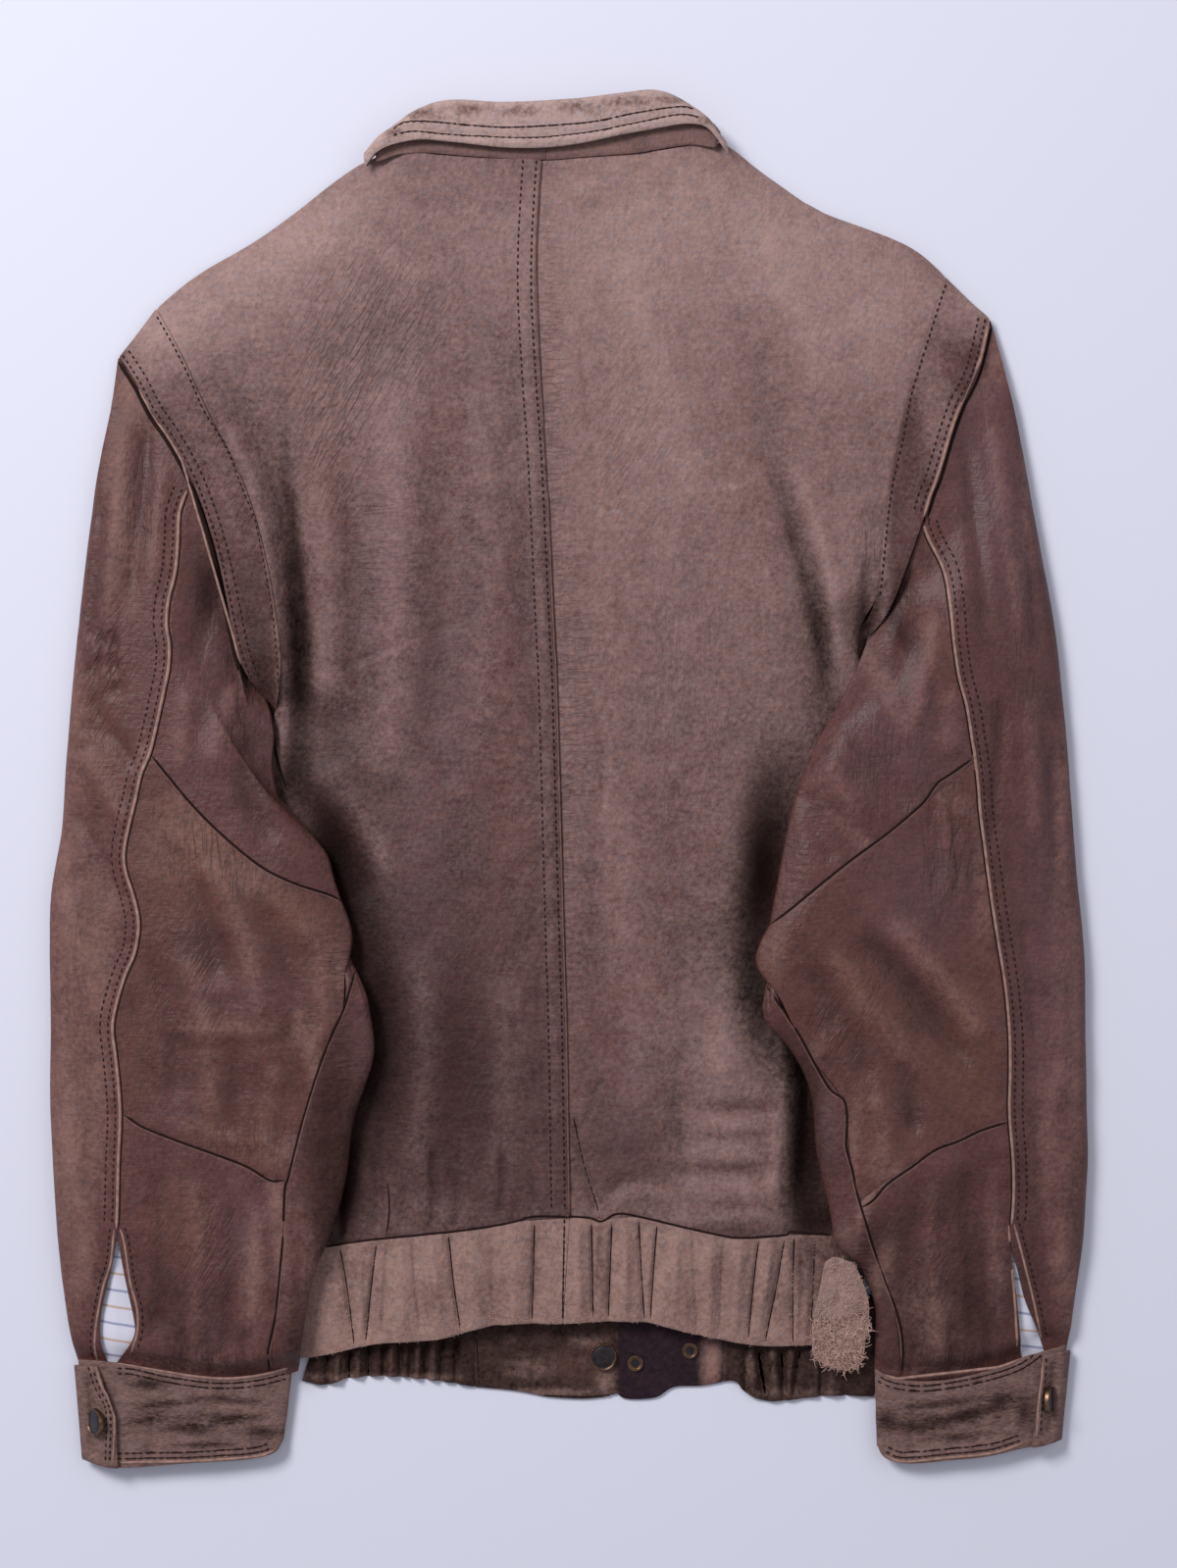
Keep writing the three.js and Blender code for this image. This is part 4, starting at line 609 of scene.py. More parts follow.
# Painted shade along the fold across the middle of each cuff.
CUFF_PATCHES = [
    patch(DEEP_SHADE_AND_TONE, 0.5, 200, 1450, 60, 16), patch(DEEP_SHADE_AND_TONE, 0.5, 965, 1450, 60, 16),
]
CUFF_WEAR = [
    wear(0.06, 150, 1448, 34, 7, 10), wear(0.06, 190, 1458, 40, 6, -4), wear(0.06, 235, 1448, 36, 6, 6),
    wear(0.06, 265, 1462, 26, 8), wear(0.06, 170, 1432, 40, 5, 4), wear(0.06, 230, 1428, 44, 5, -4),
    wear(0.06, 150, 1412, 26, 8), wear(0.06, 210, 1474, 40, 4), wear(0.90, 200, 1440, 60, 4, 6),
    wear(0.06, 935, 1456, 40, 8, 4), wear(0.06, 985, 1444, 40, 9, 10), wear(0.06, 960, 1432, 50, 6, 6),
    wear(0.06, 1020, 1430, 24, 16, 20), wear(0.06, 905, 1450, 16, 16), wear(0.06, 975, 1466, 40, 5, 4),
    wear(0.06, 1045, 1440, 12, 26), wear(0.90, 950, 1478, 50, 6, 4),
]
# Painted shade: deep at the band's right end behind the side tab, and dark in the gathers.
BAND_PATCHES = [
    patch(DEEP_SHADE_AND_TONE, 0.97, 886, 1320, 44, 110),
    patch(DARK_SHADE_AND_TONE, 0.35, 378, 1310, 12, 60), patch(DARK_SHADE_AND_TONE, 0.3, 542, 1310, 7, 50),
    patch(DARK_SHADE_AND_TONE, 0.35, 612, 1296, 10, 54),
    patch(DARK_SHADE_AND_TONE, 0.3, 768, 1320, 7, 50, 6), patch(DARK_SHADE_AND_TONE, 0.35, 792, 1320, 8, 50, 8),
    patch(DARK_SHADE_AND_TONE, 0.45, 820, 1310, 14, 56),
]
BAND_WEAR = [
    wear(0.6, 350, 1310, 22, 46), wear(0.6, 440, 1320, 24, 30), wear(0.6, 505, 1320, 34, 34, 10),
    wear(0.6, 545, 1300, 10, 46),
    wear(0.6, 612, 1290, 12, 50), wear(0.6, 700, 1330, 30, 20), wear(0.6, 735, 1310, 30, 40),
    wear(0.6, 790, 1330, 30, 36),
    wear(0.6, 822, 1290, 22, 40), wear(0.92, 410, 1290, 30, 24), wear(0.92, 575, 1290, 20, 40),
    wear(0.92, 690, 1280, 40, 20),
    # The share of 0.02 at the right end keeps the finish whole under the painted shade behind the side tab.
    wear(0.87, 320, 1360, 24, 20), wear(0.02, 880, 1310, 58, 130), wear(0.25, 836, 1278, 34, 34),
]
BAND_CRIMPS = [crimp(UPRIGHT, 0.2, 440, 1310, 120, 60), crimp(UPRIGHT, 0.2, 700, 1310, 140, 60)]
COLLAR_WEAR = [
    wear(0.32, 430, 117, 24, 8, -6), wear(0.32, 480, 114, 22, 8), wear(0.32, 530, 116, 26, 7),
    wear(0.32, 585, 112, 26, 7),
    wear(0.32, 640, 106, 28, 7), wear(0.32, 685, 104, 22, 7), wear(0.32, 400, 138, 12, 10),
    wear(0.32, 722, 126, 12, 8),
]
# Painted shade at the lower corners of the side tab.
SIDE_TAB_PATCHES = [
    patch(DARK_SHADE_AND_TONE, 0.5, 884, 1380, 14, 40), patch(DARK_SHADE_AND_TONE, 0.35, 838, 1384, 20, 20),
]
SIDE_TAB_WEAR = [
    wear(0.95, 856, 1320, 22, 40), wear(0.55, 858, 1388, 30, 14), wear(0.45, 886, 1360, 10, 50),
]
# A warm patch of leather tone, and painted shadow of the back waistband along the top of the front band.
FRONT_BAND_PATCHES = [
    patch(WARM_BROWN, 0.4, 590, 1396, 40, 20), patch(DEEP_SHADE_AND_TONE, 0.6, 400, 1380, 90, 14),
]
FRONT_BAND_WEAR = [
    wear(0.98, 726, 1392, 13, 34), wear(0.55, 560, 1424, 60, 6), wear(0.55, 618, 1412, 12, 20),
    wear(0.45, 600, 1372, 20, 8),
    wear(0.40, 350, 1408, 60, 5), wear(0.40, 430, 1408, 50, 5), wear(0.35, 800, 1424, 60, 6),
    wear(0.35, 765, 1400, 8, 24),
    wear(0.35, 540, 1400, 30, 14),
]


class Shell:
    """One leather or cloth piece: its node, how it is made and what it was cut from."""

    def __init__(self, node, levels, tint, worn, look, finish, slot, flat, area, held, rests_on):
        self.node = node
        self.levels = levels
        self.tint = tint
        self.worn = worn
        self.patches, self.wears, self.crimps, self.creases = look
        self.finish = finish
        self.slot = slot
        self.flat = (flat[0] * MM, flat[1] * MM)
        self.area = area * MM * MM
        self.held = held
        self.rests_on = rests_on


BACK_LOOK = (BACK_PATCHES, BACK_WEAR, BACK_CRIMPS, BACK_CREASES)
LEFT_SLEEVE_LOOK = (SLEEVE_PATCHES, SLEEVE_WEAR, SLEEVE_CRIMPS, LEFT_SLEEVE_CREASES)
RIGHT_SLEEVE_LOOK = (SLEEVE_PATCHES, SLEEVE_WEAR, SLEEVE_CRIMPS, RIGHT_SLEEVE_CREASES)
LEFT_ELBOW_LOOK = (ELBOW_PATCHES, ELBOW_WEAR, ELBOW_CRIMPS, LEFT_SLEEVE_CREASES)
RIGHT_ELBOW_LOOK = (ELBOW_PATCHES, ELBOW_WEAR, ELBOW_CRIMPS, RIGHT_SLEEVE_CREASES)
COLLAR_LOOK = ([], COLLAR_WEAR, [], COLLAR_CREASES)
BAND_LOOK = (BAND_PATCHES, BAND_WEAR, BAND_CRIMPS, BAND_CREASES)
FRONT_BAND_LOOK = (FRONT_BAND_PATCHES, FRONT_BAND_WEAR, [], FRONT_BAND_CREASES)
FRONT_END_LOOK = (FRONT_BAND_PATCHES, FRONT_BAND_WEAR, [], [])
CUFF_LOOK = (CUFF_PATCHES, CUFF_WEAR, [], CUFF_CREASES)
TAB_LOOK = (CUFF_PATCHES, CUFF_WEAR, [], TAB_CREASES)
PLAIN_LOOK = ([], [], [], [])
SIDE_TAB_LOOK = (SIDE_TAB_PATCHES, SIDE_TAB_WEAR, [], SIDE_TAB_CREASES)
BACK_SHELLS = [
    Shell("back_left", 3, BACK_LEFT_BROWN, 0.2, BACK_LOOK, "back", "back_leather",
          (235, 621), 99726, "laid", ["front_left"]),
    Shell("back_right", 3, BACK_RIGHT_BROWN, 0.46, BACK_LOOK, "back", "back_leather",
          (232, 620), 108920, "laid", ["front_right"]),
    Shell("armhole_strip_left", 3, STRIP_BROWN, 0.16, BACK_LOOK, "back", "back_leather",
          (36, 240), 5852, "laid", ["front_left"]),
    Shell("armhole_strip_right", 3, STRIP_BROWN, 0.16, BACK_LOOK, "back", "back_leather",
          (34, 215), 4700, "laid", ["front_right"]),
]
FRONT_SHELLS = [
    Shell("front_left", 1, INNER_BROWN, 0.05, PLAIN_LOOK, "inner", "inner_leather",
          (285, 632), 127056, "laid", ["floor"]),
    Shell("front_right", 1, INNER_BROWN, 0.05, PLAIN_LOOK, "inner", "inner_leather",
          (210, 635), 91269, "laid", ["floor"]),
]
SLEEVE_SHELLS = [
    Shell("sleeve_outer_left", 3, SLEEVE_BROWN, 0.14, LEFT_SLEEVE_LOOK, "sleeve",
          "sleeve_leather", (150, 575), 64697, "laid", ["floor"]),
    Shell("sleeve_upper_left", 3, SLEEVE_BROWN, 0.14, LEFT_SLEEVE_LOOK, "sleeve",
          "sleeve_leather", (108, 233), 9862, "laid", ["sleeve_underarm_left"]),
    Shell("sleeve_elbow_left", 3, ELBOW_BROWN, 0.12, LEFT_ELBOW_LOOK, "sleeve",
          "elbow_leather", (134, 240), 20294, "laid", ["sleeve_underarm_left"]),
    Shell("sleeve_forearm_left", 3, SLEEVE_BROWN, 0.14, LEFT_SLEEVE_LOOK, "sleeve",
          "sleeve_leather", (96, 148), 11085, "laid", ["sleeve_underarm_left"]),
    Shell("sleeve_underarm_left", 2, SLEEVE_BROWN, 0.14, LEFT_SLEEVE_LOOK, "sleeve",
          "sleeve_leather", (120, 480), 33404, "laid", ["floor"]),
    Shell("sleeve_outer_right", 3, SLEEVE_BROWN, 0.12, RIGHT_SLEEVE_LOOK, "sleeve",
          "sleeve_leather", (150, 592), 66656, "laid", ["floor"]),
    Shell("sleeve_upper_right", 3, SLEEVE_BROWN, 0.12, RIGHT_SLEEVE_LOOK, "sleeve",
          "sleeve_leather", (115, 229), 11850, "laid", ["sleeve_underarm_right"]),
    Shell("sleeve_elbow_right", 3, ELBOW_BROWN, 0.12, RIGHT_ELBOW_LOOK, "sleeve",
          "elbow_leather", (143, 246), 20329, "laid", ["sleeve_underarm_right"]),
    Shell("sleeve_forearm_right", 3, SLEEVE_BROWN, 0.12, RIGHT_SLEEVE_LOOK, "sleeve",
          "sleeve_leather", (93, 147), 9515, "laid", ["sleeve_underarm_right"]),
    Shell("sleeve_underarm_right", 2, SLEEVE_BROWN, 0.12, RIGHT_SLEEVE_LOOK, "sleeve",
          "sleeve_leather", (124, 475), 32897, "laid", ["floor"]),
]
COLLAR_SHELLS = [
    Shell("collar_fall", 3, COLLAR_BROWN, 0.98, COLLAR_LOOK, "collar", "collar_suede",
          (204, 41), 5672, "folded", ["collar_stand_left", "collar_stand_right"]),
    Shell("collar_stand_left", 2, STAND_BROWN, 0.3, PLAIN_LOOK, "dark", "dark_leather",
          (97, 28), 2063, "laid", ["collar_front_left"]),
    Shell("collar_stand_right", 2, STAND_BROWN, 0.3, PLAIN_LOOK, "dark", "dark_leather",
          (99, 34), 2379, "laid", ["collar_front_right"]),
    Shell("collar_front_left", 2, INNER_BROWN, 0.05, PLAIN_LOOK, "inner", "inner_leather",
          (135, 67), 6798, "folded", ["floor"]),
    Shell("collar_front_right", 2, INNER_BROWN, 0.05, PLAIN_LOOK, "inner", "inner_leather",
          (53, 69), 2619, "folded", ["floor"]),
]
BAND_SHELLS = [
    Shell("waistband_back_left", 3, BAND_BROWN, 0.82, BAND_LOOK, "band", "band_suede",
          (178, 82), 9850, "gathered", ["waistband_front_left", "waistband_left_end"]),
    Shell("waistband_back_right", 3, BAND_BROWN, 0.82, BAND_LOOK, "band", "band_suede",
          (190, 75), 11330, "gathered", ["waistband_right_end", "waistband_front_right"]),
    Shell("waistband_front_left", 3, INNER_BROWN, 0.1, FRONT_BAND_LOOK, "inner",
          "inner_leather", (112, 52), 5100, "gathered", ["floor"]),
    Shell("waistband_left_end", 3, INNER_BROWN, 0.12, FRONT_END_LOOK, "inner", "inner_leather",
          (82, 59), 4619, "laid", ["floor"]),
    Shell("waistband_right_end", 3, UNDERLAP_BROWN, 0.05, FRONT_END_LOOK, "dark", "dark_leather",
          (57, 59), 3108, "laid", ["floor"]),
    Shell("waistband_front_right", 3, INNER_BROWN, 0.1, FRONT_BAND_LOOK, "inner",
          "inner_leather", (108, 60), 5660, "gathered", ["floor"]),
    Shell("side_tab", 3, TAB_BROWN, 0.8, SIDE_TAB_LOOK, "tab", "collar_suede",
          (32, 64), 1700, "laid", ["waistband_back_right"]),
]
CUFF_SHELLS = [
    Shell("cuff_left", 3, CUFF_BROWN, 0.72, CUFF_LOOK, "cuff", "band_suede",
          (230, 58), 11417, "laid", ["floor"]),
    Shell("cuff_right", 3, CUFF_BROWN, 0.72, CUFF_LOOK, "cuff", "band_suede",
          (205, 58), 9729, "laid", ["floor"]),
    Shell("cuff_tab_left", 3, CUFF_BROWN, 0.66, TAB_LOOK, "cuff", "band_suede",
          (26, 57), 1028, "laid", ["cuff_left"]),
    Shell("cuff_tab_right", 3, CUFF_BROWN, 0.66, TAB_LOOK, "cuff", "band_suede",
          (23, 54), 817, "laid", ["cuff_right"]),
    Shell("slit_lining_left", 2, COLLAR_BROWN, 0.0, PLAIN_LOOK, "lining", "lining_cloth",
          (31, 85), 1791, "laid", ["sleeve_forearm_left"]),
    Shell("slit_lining_right", 2, COLLAR_BROWN, 0.0, PLAIN_LOOK, "lining", "lining_cloth",
          (29, 82), 1385, "laid", ["sleeve_forearm_right"]),
]

MERGE_DISTANCE = 0.00001
RIM_ANGLE = math.radians(62.0)
RIM_CREASE = 0.85
QUAD_TURN = 1.2
FIT_ROUNDS = 3
END_FADE = 0.18
CREASE_REACH = 3.0
PATCH_FALL = 0.75
RAY_LIFT = 0.05 * MM
# The most that painted highlight on the crease ridges can lighten the tint.
LIGHTEST_HIGHLIGHT = 1.6
# How fast the wear falls where painted shade and darker tone darken the tint.
SHADED_WEAR_FALL = 0.7
FLOOR_LEVEL = 0.0


def eased(values):
    """Values held to 0 and 1, with a soft start and stop."""
    held = np.clip(values, 0.0, 1.0)
    return held * held * (3.0 - 2.0 * held)


def line_distance(points, line):
    """Each point's distance from a line in plan, and where along the line, 0 to 1, its nearest place is."""
    best = np.full(len(points), 1e9)
    share = np.zeros(len(points))
    steps = np.linalg.norm(np.diff(line, axis=0), axis=1)
    run = 0.0
    for start, stop, step in zip(line[:-1], line[1:], steps):
        along = stop - start
        part = np.clip(((points - start) @ along) / (step * step), 0.0, 1.0)
        away = np.linalg.norm(points - (start + part[:, None] * along), axis=1)
        nearer = away < best
        best[nearer] = away[nearer]
        share[nearer] = (run + part[nearer] * step) / steps.sum()
        run += step
    return best, share


def crease_heights(points, creases):
    """The sum of the creases at each point in plan."""
    total = np.zeros(len(points))
    for height, width, line in creases:
        low = line.min(axis=0) - CREASE_REACH * width
        high = line.max(axis=0) + CREASE_REACH * width
        near = ((points > low) & (points < high)).all(axis=1)
        if not near.any():
            continue
        away, share = line_distance(points[near], line)
        ends = eased(np.minimum(share, 1.0 - share) / END_FADE)
        total[near] += height * np.exp(-((away / width) ** 2)) * ends
    return total


def soft_cover(points, centre, half_width, half_height, turn):
    """How much of a soft elliptical patch lies on each point in plan, 0 to 1."""
    offset = points - np.array(centre)
    across = offset[:, 0] * math.cos(turn) + offset[:, 1] * math.sin(turn)
    along = offset[:, 1] * math.cos(turn) - offset[:, 0] * math.sin(turn)
    distance = np.sqrt((across / half_width) ** 2 + (along / half_height) ** 2)
    return eased(1.0 - distance * PATCH_FALL)


def painted(points, tint, patches):
    """Colours at points in plan: the tint, with the patches laid over it in turn."""
    colours = np.tile(np.array(tint), (len(points), 1))
    for over, share, *place in patches:
        cover = share * soft_cover(points, *place)
        colours += (np.array(over) - colours) * cover[:, None]
    return colours


def worn_shares(points, worn, wears):
    """How far the finish is rubbed off at points in plan."""
    shares = np.full(len(points), worn)
    for share, *place in wears:
        shares += (share - shares) * soft_cover(points, *place)
    return shares


def crimp_shares(points, crimps):
    """How strong the fine wrinkles of each way are at points in plan."""
    shares = np.zeros((len(points), 3))
    for way, (share, *place) in crimps:
        shares[:, way] += share * soft_cover(points, *place)
    return np.clip(shares, 0.0, 1.0)


def cage(node):
    """The node's mesh with its corners merged, in quads, with the wall's rims marked sharp."""
    mesh = bmesh.new()
    mesh.from_mesh(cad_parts[node].data)
    bmesh.ops.remove_doubles(mesh, verts=mesh.verts, dist=MERGE_DISTANCE)
    bmesh.ops.join_triangles(
        mesh, faces=mesh.faces, angle_face_threshold=QUAD_TURN, angle_shape_threshold=math.pi,
    )
    sharp = mesh.edges.layers.float.new("crease_edge")
    for edge in mesh.edges:
        if edge.is_manifold and edge.calc_face_angle() > RIM_ANGLE:
            edge[sharp] = RIM_CREASE
    return mesh


def upper_shares(mesh):
    """1 for each vertex of a wall's upper side, 0 where another wall lies above it."""
    tree = BVHTree.FromBMesh(mesh)
    lift = Vector((0.0, 0.0, RAY_LIFT))
    up = Vector((0.0, 0.0, 1.0))
    shares = []
    for vert in mesh.verts:
        crossings = 0
        place = vert.co + lift
        for _ in range(2):
            hit = tree.ray_cast(place, up)[0]
            if hit is None:
                break
            crossings += 1
            place = hit + lift
        shares.append(1.0 if crossings < 2 else 0.0)
    return shares


def coordinates(mesh):
    """A mesh's vertices as an array."""
    values = np.empty(len(mesh.vertices) * 3)
    mesh.vertices.foreach_get("co", values)
    return values.reshape(-1, 3)


def evaluated_mesh(item):
    """The item's mesh with its modifiers, as new data."""
    graph = bpy.context.evaluated_depsgraph_get()
    return bpy.data.meshes.new_from_object(item.evaluated_get(graph))


def smooth_shell(node, levels):
    """The node's wall as a smooth fine mesh that passes through the node's own corners."""
    source = cage(node)
    shares = upper_shares(source)
    mesh = bpy.data.meshes.new(node + "_shell")
    source.to_mesh(mesh)
    source.free()
    upper = mesh.attributes.new("upper", "FLOAT", "POINT")
    upper.data.foreach_set("value", shares)
    item = bpy.data.objects.new(node + "_shell", mesh)
    bpy.context.scene.collection.objects.link(item)
    finer = item.modifiers.new("finer", "SUBSURF")
    finer.levels = 1
    target = coordinates(mesh)
    fitted = target.copy()
    for _ in range(FIT_ROUNDS):
        once = evaluated_mesh(item)
        fitted += target - coordinates(once)[: len(target)]
        mesh.vertices.foreach_set("co", fitted.ravel())
        mesh.update()
        bpy.data.meshes.remove(once)
    finer.levels = levels
    dense = evaluated_mesh(item)
    item.modifiers.clear()
    item.data = dense
    bpy.data.meshes.remove(mesh)
    dense.name = node + "_shell"
    return item


ROUGHEN_SCALE = 60.0
FINE_ROUGHEN_SCALE = 190.0


# How far the sleeve ends are drawn down into the cuffs: plan x, and plan points of pull.
SLEEVE_END_PULL = (
    (78, 4), (123, 5), (173, 7), (213, 9), (259, 14), (303, 18), (893, 7), (912, 10), (940, 12), (979, 13),
    (1017, 12), (1040, 10), (1090, 6),
)
CUFF_TOPS = (
    (78, 1391), (137, 1391), (173, 1399), (220, 1405), (259, 1403), (297, 1395), (893, 1396), (912, 1405),
    (940, 1408), (979, 1403), (1017, 1394), (1040, 1385), (1060, 1370), (1090, 1375),
)
PULL_FROM = 1310.0
PULL_OVER = 70.0
TUCK_OVER = 22.0
TUCK_SHARE = 0.66
TUCK_LIFT = 1.5 * MM
LIP_OVER = 24.0
LIP_RISE = 5.0
LIP_LIFT = 0.9 * MM


def picture_places(points):
    """The plan points of places in the frame."""
    return points[:, 0] / PLAN_POINT + PLAN_X, PLAN_Y - points[:, 1] / PLAN_POINT


def looked_up(across, table):
    """A value between the pairs of a table."""
    return np.interp(across, [x for x, _ in table], [value for _, value in table])


def tuck_sleeve(points):
    """Draws a sleeve's end down and in, under the top edge of its cuff."""
    across, down = picture_places(points)
    pull = looked_up(across, SLEEVE_END_PULL)
    points[:, 1] -= pull * PLAN_POINT * eased((down - PULL_FROM) / PULL_OVER)
    across, down = picture_places(points)
    share = eased((down - looked_up(across, CUFF_TOPS) + TUCK_OVER) / TUCK_OVER)
    points[:, 2] += share * (TUCK_LIFT - TUCK_SHARE * points[:, 2])


def lift_cuff(points, upper):
    """Draws a cuff's top edge up over the sleeve."""
    across, down = picture_places(points)
    share = eased(1.0 - (down - looked_up(across, CUFF_TOPS)) / LIP_OVER)
    points[:, 1] += share * LIP_RISE * PLAN_POINT
    points[:, 2] += share * LIP_LIFT * upper


def widen_band_end(points):
    """Draws the left end of the back waistband to the sleeve."""
    across, _ = picture_places(points)
    points[:, 0] -= 7.0 * PLAN_POINT * eased((350.0 - across) / 40.0)


def widen_front_right(points):
    """Draws the right end of the front waistband out to the sleeve."""
    across, down = picture_places(points)
    reach = np.interp(down, (1300.0, 1345.0, 1428.0), (54.0, 44.0, 9.0))
    points[:, 0] += reach * PLAN_POINT * eased((across - 790.0) / 66.0)


def widen_side(points):
    """Draws the lower right of the back and its waistband out to the sleeve."""
    across, down = picture_places(points)
    reach = np.interp(down, (1200.0, 1262.0, 1300.0, 1370.0), (10.0, 16.0, 44.0, 44.0))
    points[:, 0] += reach * PLAN_POINT * eased((across - 796.0) / 48.0) * eased((down - 1130.0) / 90.0)


def close_neck(points):
    """Widens the ends of the collar stand over the neck seam and in under the fall."""
    across, down = picture_places(points)
    share = np.maximum(eased((440.0 - across) / 50.0), eased((across - 700.0) / 40.0))
    below = np.tanh((down - np.polyval(np.polyfit(across, down, 3), across)) / 2.0)
    tip = eased((across - 374.0) / 14.0) * eased((740.0 - across) / 14.0)
    points[:, 1] -= PLAN_POINT * share * np.where(below > 0.0, 7.0 * below, 8.0 * below * tip)


def lower_fall(points):
    """Draws the ends of the collar fall down to the shoulders."""
    across, down = picture_places(points)
    left = eased((408.0 - across) / 30.0)
    right = eased((across - 716.0) / 26.0)
    points[:, 0] -= 4.0 * PLAN_POINT * left
    left *= eased((down - 138.0) / 12.0)
    right *= eased((down - 112.0) / 20.0)
    points[:, 1] -= PLAN_POINT * (5.0 * left + 8.0 * right)


def close_slit_left(points):
    """Draws the left sleeve's slit together at its lower end."""
    across, down = picture_places(points)
    share = eased((down - 1352.0) / 44.0) * eased((190.0 - across) / 50.0) * (across > 116.0)
    points[:, 0] -= 15.0 * PLAN_POINT * share


def close_slit_right(points):
    """Laps the upper part of the right sleeve's slit."""
    across, down = picture_places(points)
    share = eased((down - 1240.0) / 40.0) * eased((1375.0 - down) / 60.0) * eased((1090.0 - across) / 50.0)
    points[:, 0] -= 11.0 * PLAN_POINT * share * (across > 1022.0)


def widen_tab(points):
    """Draws the right edge of the side tab out to the sleeve."""
    across, _ = picture_places(points)
    points[:, 0] += 6.0 * PLAN_POINT * eased((across - 850.0) / 30.0)


def slide_underlap(points):
    """Draws the left edge of the underlap up to the plain end beside it."""
    across, _ = picture_places(points)
    points[:, 0] -= 5.0 * PLAN_POINT * eased((662.0 - across) / 30.0)


def reshape(node, points, upper):
    """Small changes to a piece's outline where it meets its neighbours."""
    if node.startswith("sleeve") or node.startswith("slit"):
        tuck_sleeve(points)
        if node == "sleeve_forearm_left":
            close_slit_left(points)
        if node == "sleeve_outer_right":
            close_slit_right(points)
    elif node in ("cuff_left", "cuff_right"):
        lift_cuff(points, upper)
    elif node == "waistband_back_left":
        widen_band_end(points)
    elif node == "waistband_front_right":
        widen_front_right(points)
    elif node in ("back_right", "waistband_back_right"):
        widen_side(points)
    elif node.startswith("collar_stand"):
        close_neck(points)
    elif node == "collar_fall":
        lower_fall(points)
    elif node == "waistband_right_end":
        slide_underlap(points)
    elif node == "side_tab":
        widen_tab(points)


def unevenness(points, settings):
    """Small lasting puckers of worn leather, in metres."""
    heights = np.empty(len(points))
    for i, point in enumerate(points):
        place = Vector(point)
        broad = noise.noise(place * ROUGHEN_SCALE)
        fine = noise.noise(place * FINE_ROUGHEN_SCALE)
        heights[i] = settings.pucker * broad + settings.fine_pucker * fine
    return heights


def dressed(shell, settings, finishes):
    """Makes one shell: the smooth wall with its creases, tints and material."""
    levels = shell.levels
    item = smooth_shell(shell.node, levels)
    mesh = item.data
    points = coordinates(mesh)
    upper = np.empty(len(points))
    mesh.attributes["upper"].data.foreach_get("value", upper)
    reshape(shell.node, points, upper)
    folds = crease_heights(points[:, :2], shell.creases) * settings.crease_depth
    rough = unevenness(points, settings) if shell.creases else np.zeros(len(points))
    points[:, 2] += (folds + rough) * upper
    points[:, 2] = np.maximum(points[:, 2], FLOOR_LEVEL)
    mesh.vertices.foreach_set("co", points.ravel())
    # The tint with its patches: leather tone, painted shade and painted sheen.
    colours = painted(points[:, :2], shell.tint, shell.patches)
    # Painted shade darkens the tint in the troughs of the creases; on their ridges the tint is made paler,
    # as painted highlight and rub.
    shade = 1.0 + np.where(folds > 0.0, settings.ridge_highlight, settings.trough_shade) * folds / MM * upper
    colours *= np.clip(shade, settings.darkest, LIGHTEST_HIGHLIGHT)[:, None]
    tints = np.ones((len(points), 4))
    tints[:, :3] = colours
    layer = mesh.color_attributes.new("tint", "FLOAT_COLOR", "POINT")
    layer.data.foreach_set("color", tints.ravel())
    worn = worn_shares(points[:, :2], shell.worn, shell.wears)
    worn += settings.ridge_wear * np.maximum(folds, 0.0) / MM * upper
    # Less paler skin where painted shade and darker tone darken the tint.
    worn *= np.clip(colours.sum(axis=1) / sum(shell.tint), 0.0, 1.0) ** SHADED_WEAR_FALL
    layer = mesh.attributes.new("worn", "FLOAT", "POINT")
    layer.data.foreach_set("value", np.clip(worn, 0.0, 1.0))
    layer = mesh.attributes.new("crimp", "FLOAT_VECTOR", "POINT")
    crimps = np.maximum(crimp_shares(points[:, :2], shell.crimps), settings.even_crimp)
    layer.data.foreach_set("vector", crimps.ravel())
    mesh.shade_smooth()
    mesh.update()
    mesh.materials.clear()
    mesh.materials.append(finishes[shell.finish])
    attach(item, "root")
    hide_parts(shell.node)
    return item


def link(tree, source, target):
    """Joins two sockets."""
    tree.links.new(source, target)


def add_node(tree, kind, **values):
    """A node with some of its own settings."""
    made = tree.nodes.new(kind)
    for name, value in values.items():
        setattr(made, name, value)
    return made


def set_inputs(node, **values):
    """Sets a node's inputs by name, with _ for a space."""
    for name, value in values.items():
        node.inputs[name.replace("_", " ")].default_value = value


def math_node(tree, operation, first, second):
    """A sum, product or other operation on two values or sockets."""
    made = add_node(tree, "ShaderNodeMath", operation=operation)
    for slot, value in zip(made.inputs, (first, second)):
        if isinstance(value, bpy.types.NodeSocket):
            link(tree, value, slot)
        else:
            slot.default_value = value
    return made.outputs[0]


def mix_colours(tree, share, first, second, blend="MIX"):
    """A mix of two colours; each argument is a socket or a plain value."""
    made = add_node(tree, "ShaderNodeMix", data_type="RGBA", blend_type=blend)
    slots = (made.inputs["Factor"], made.inputs[6], made.inputs[7])
    for slot, value in zip(slots, (share, first, second)):
        if isinstance(value, bpy.types.NodeSocket):
            link(tree, value, slot)
        elif isinstance(value, tuple):
            slot.default_value = (*value, 1.0)
        else:
            slot.default_value = value
    return made.outputs[2]


def ranged(tree, value, low, high, to_low=0.0, to_high=1.0):
    """A value moved from one range to another and held to it."""
    made = add_node(tree, "ShaderNodeMapRange", clamp=True)
    link(tree, value, made.inputs["Value"])
    set_inputs(made, From_Min=low, From_Max=high, To_Min=to_low, To_Max=to_high)
    return made.outputs["Result"]


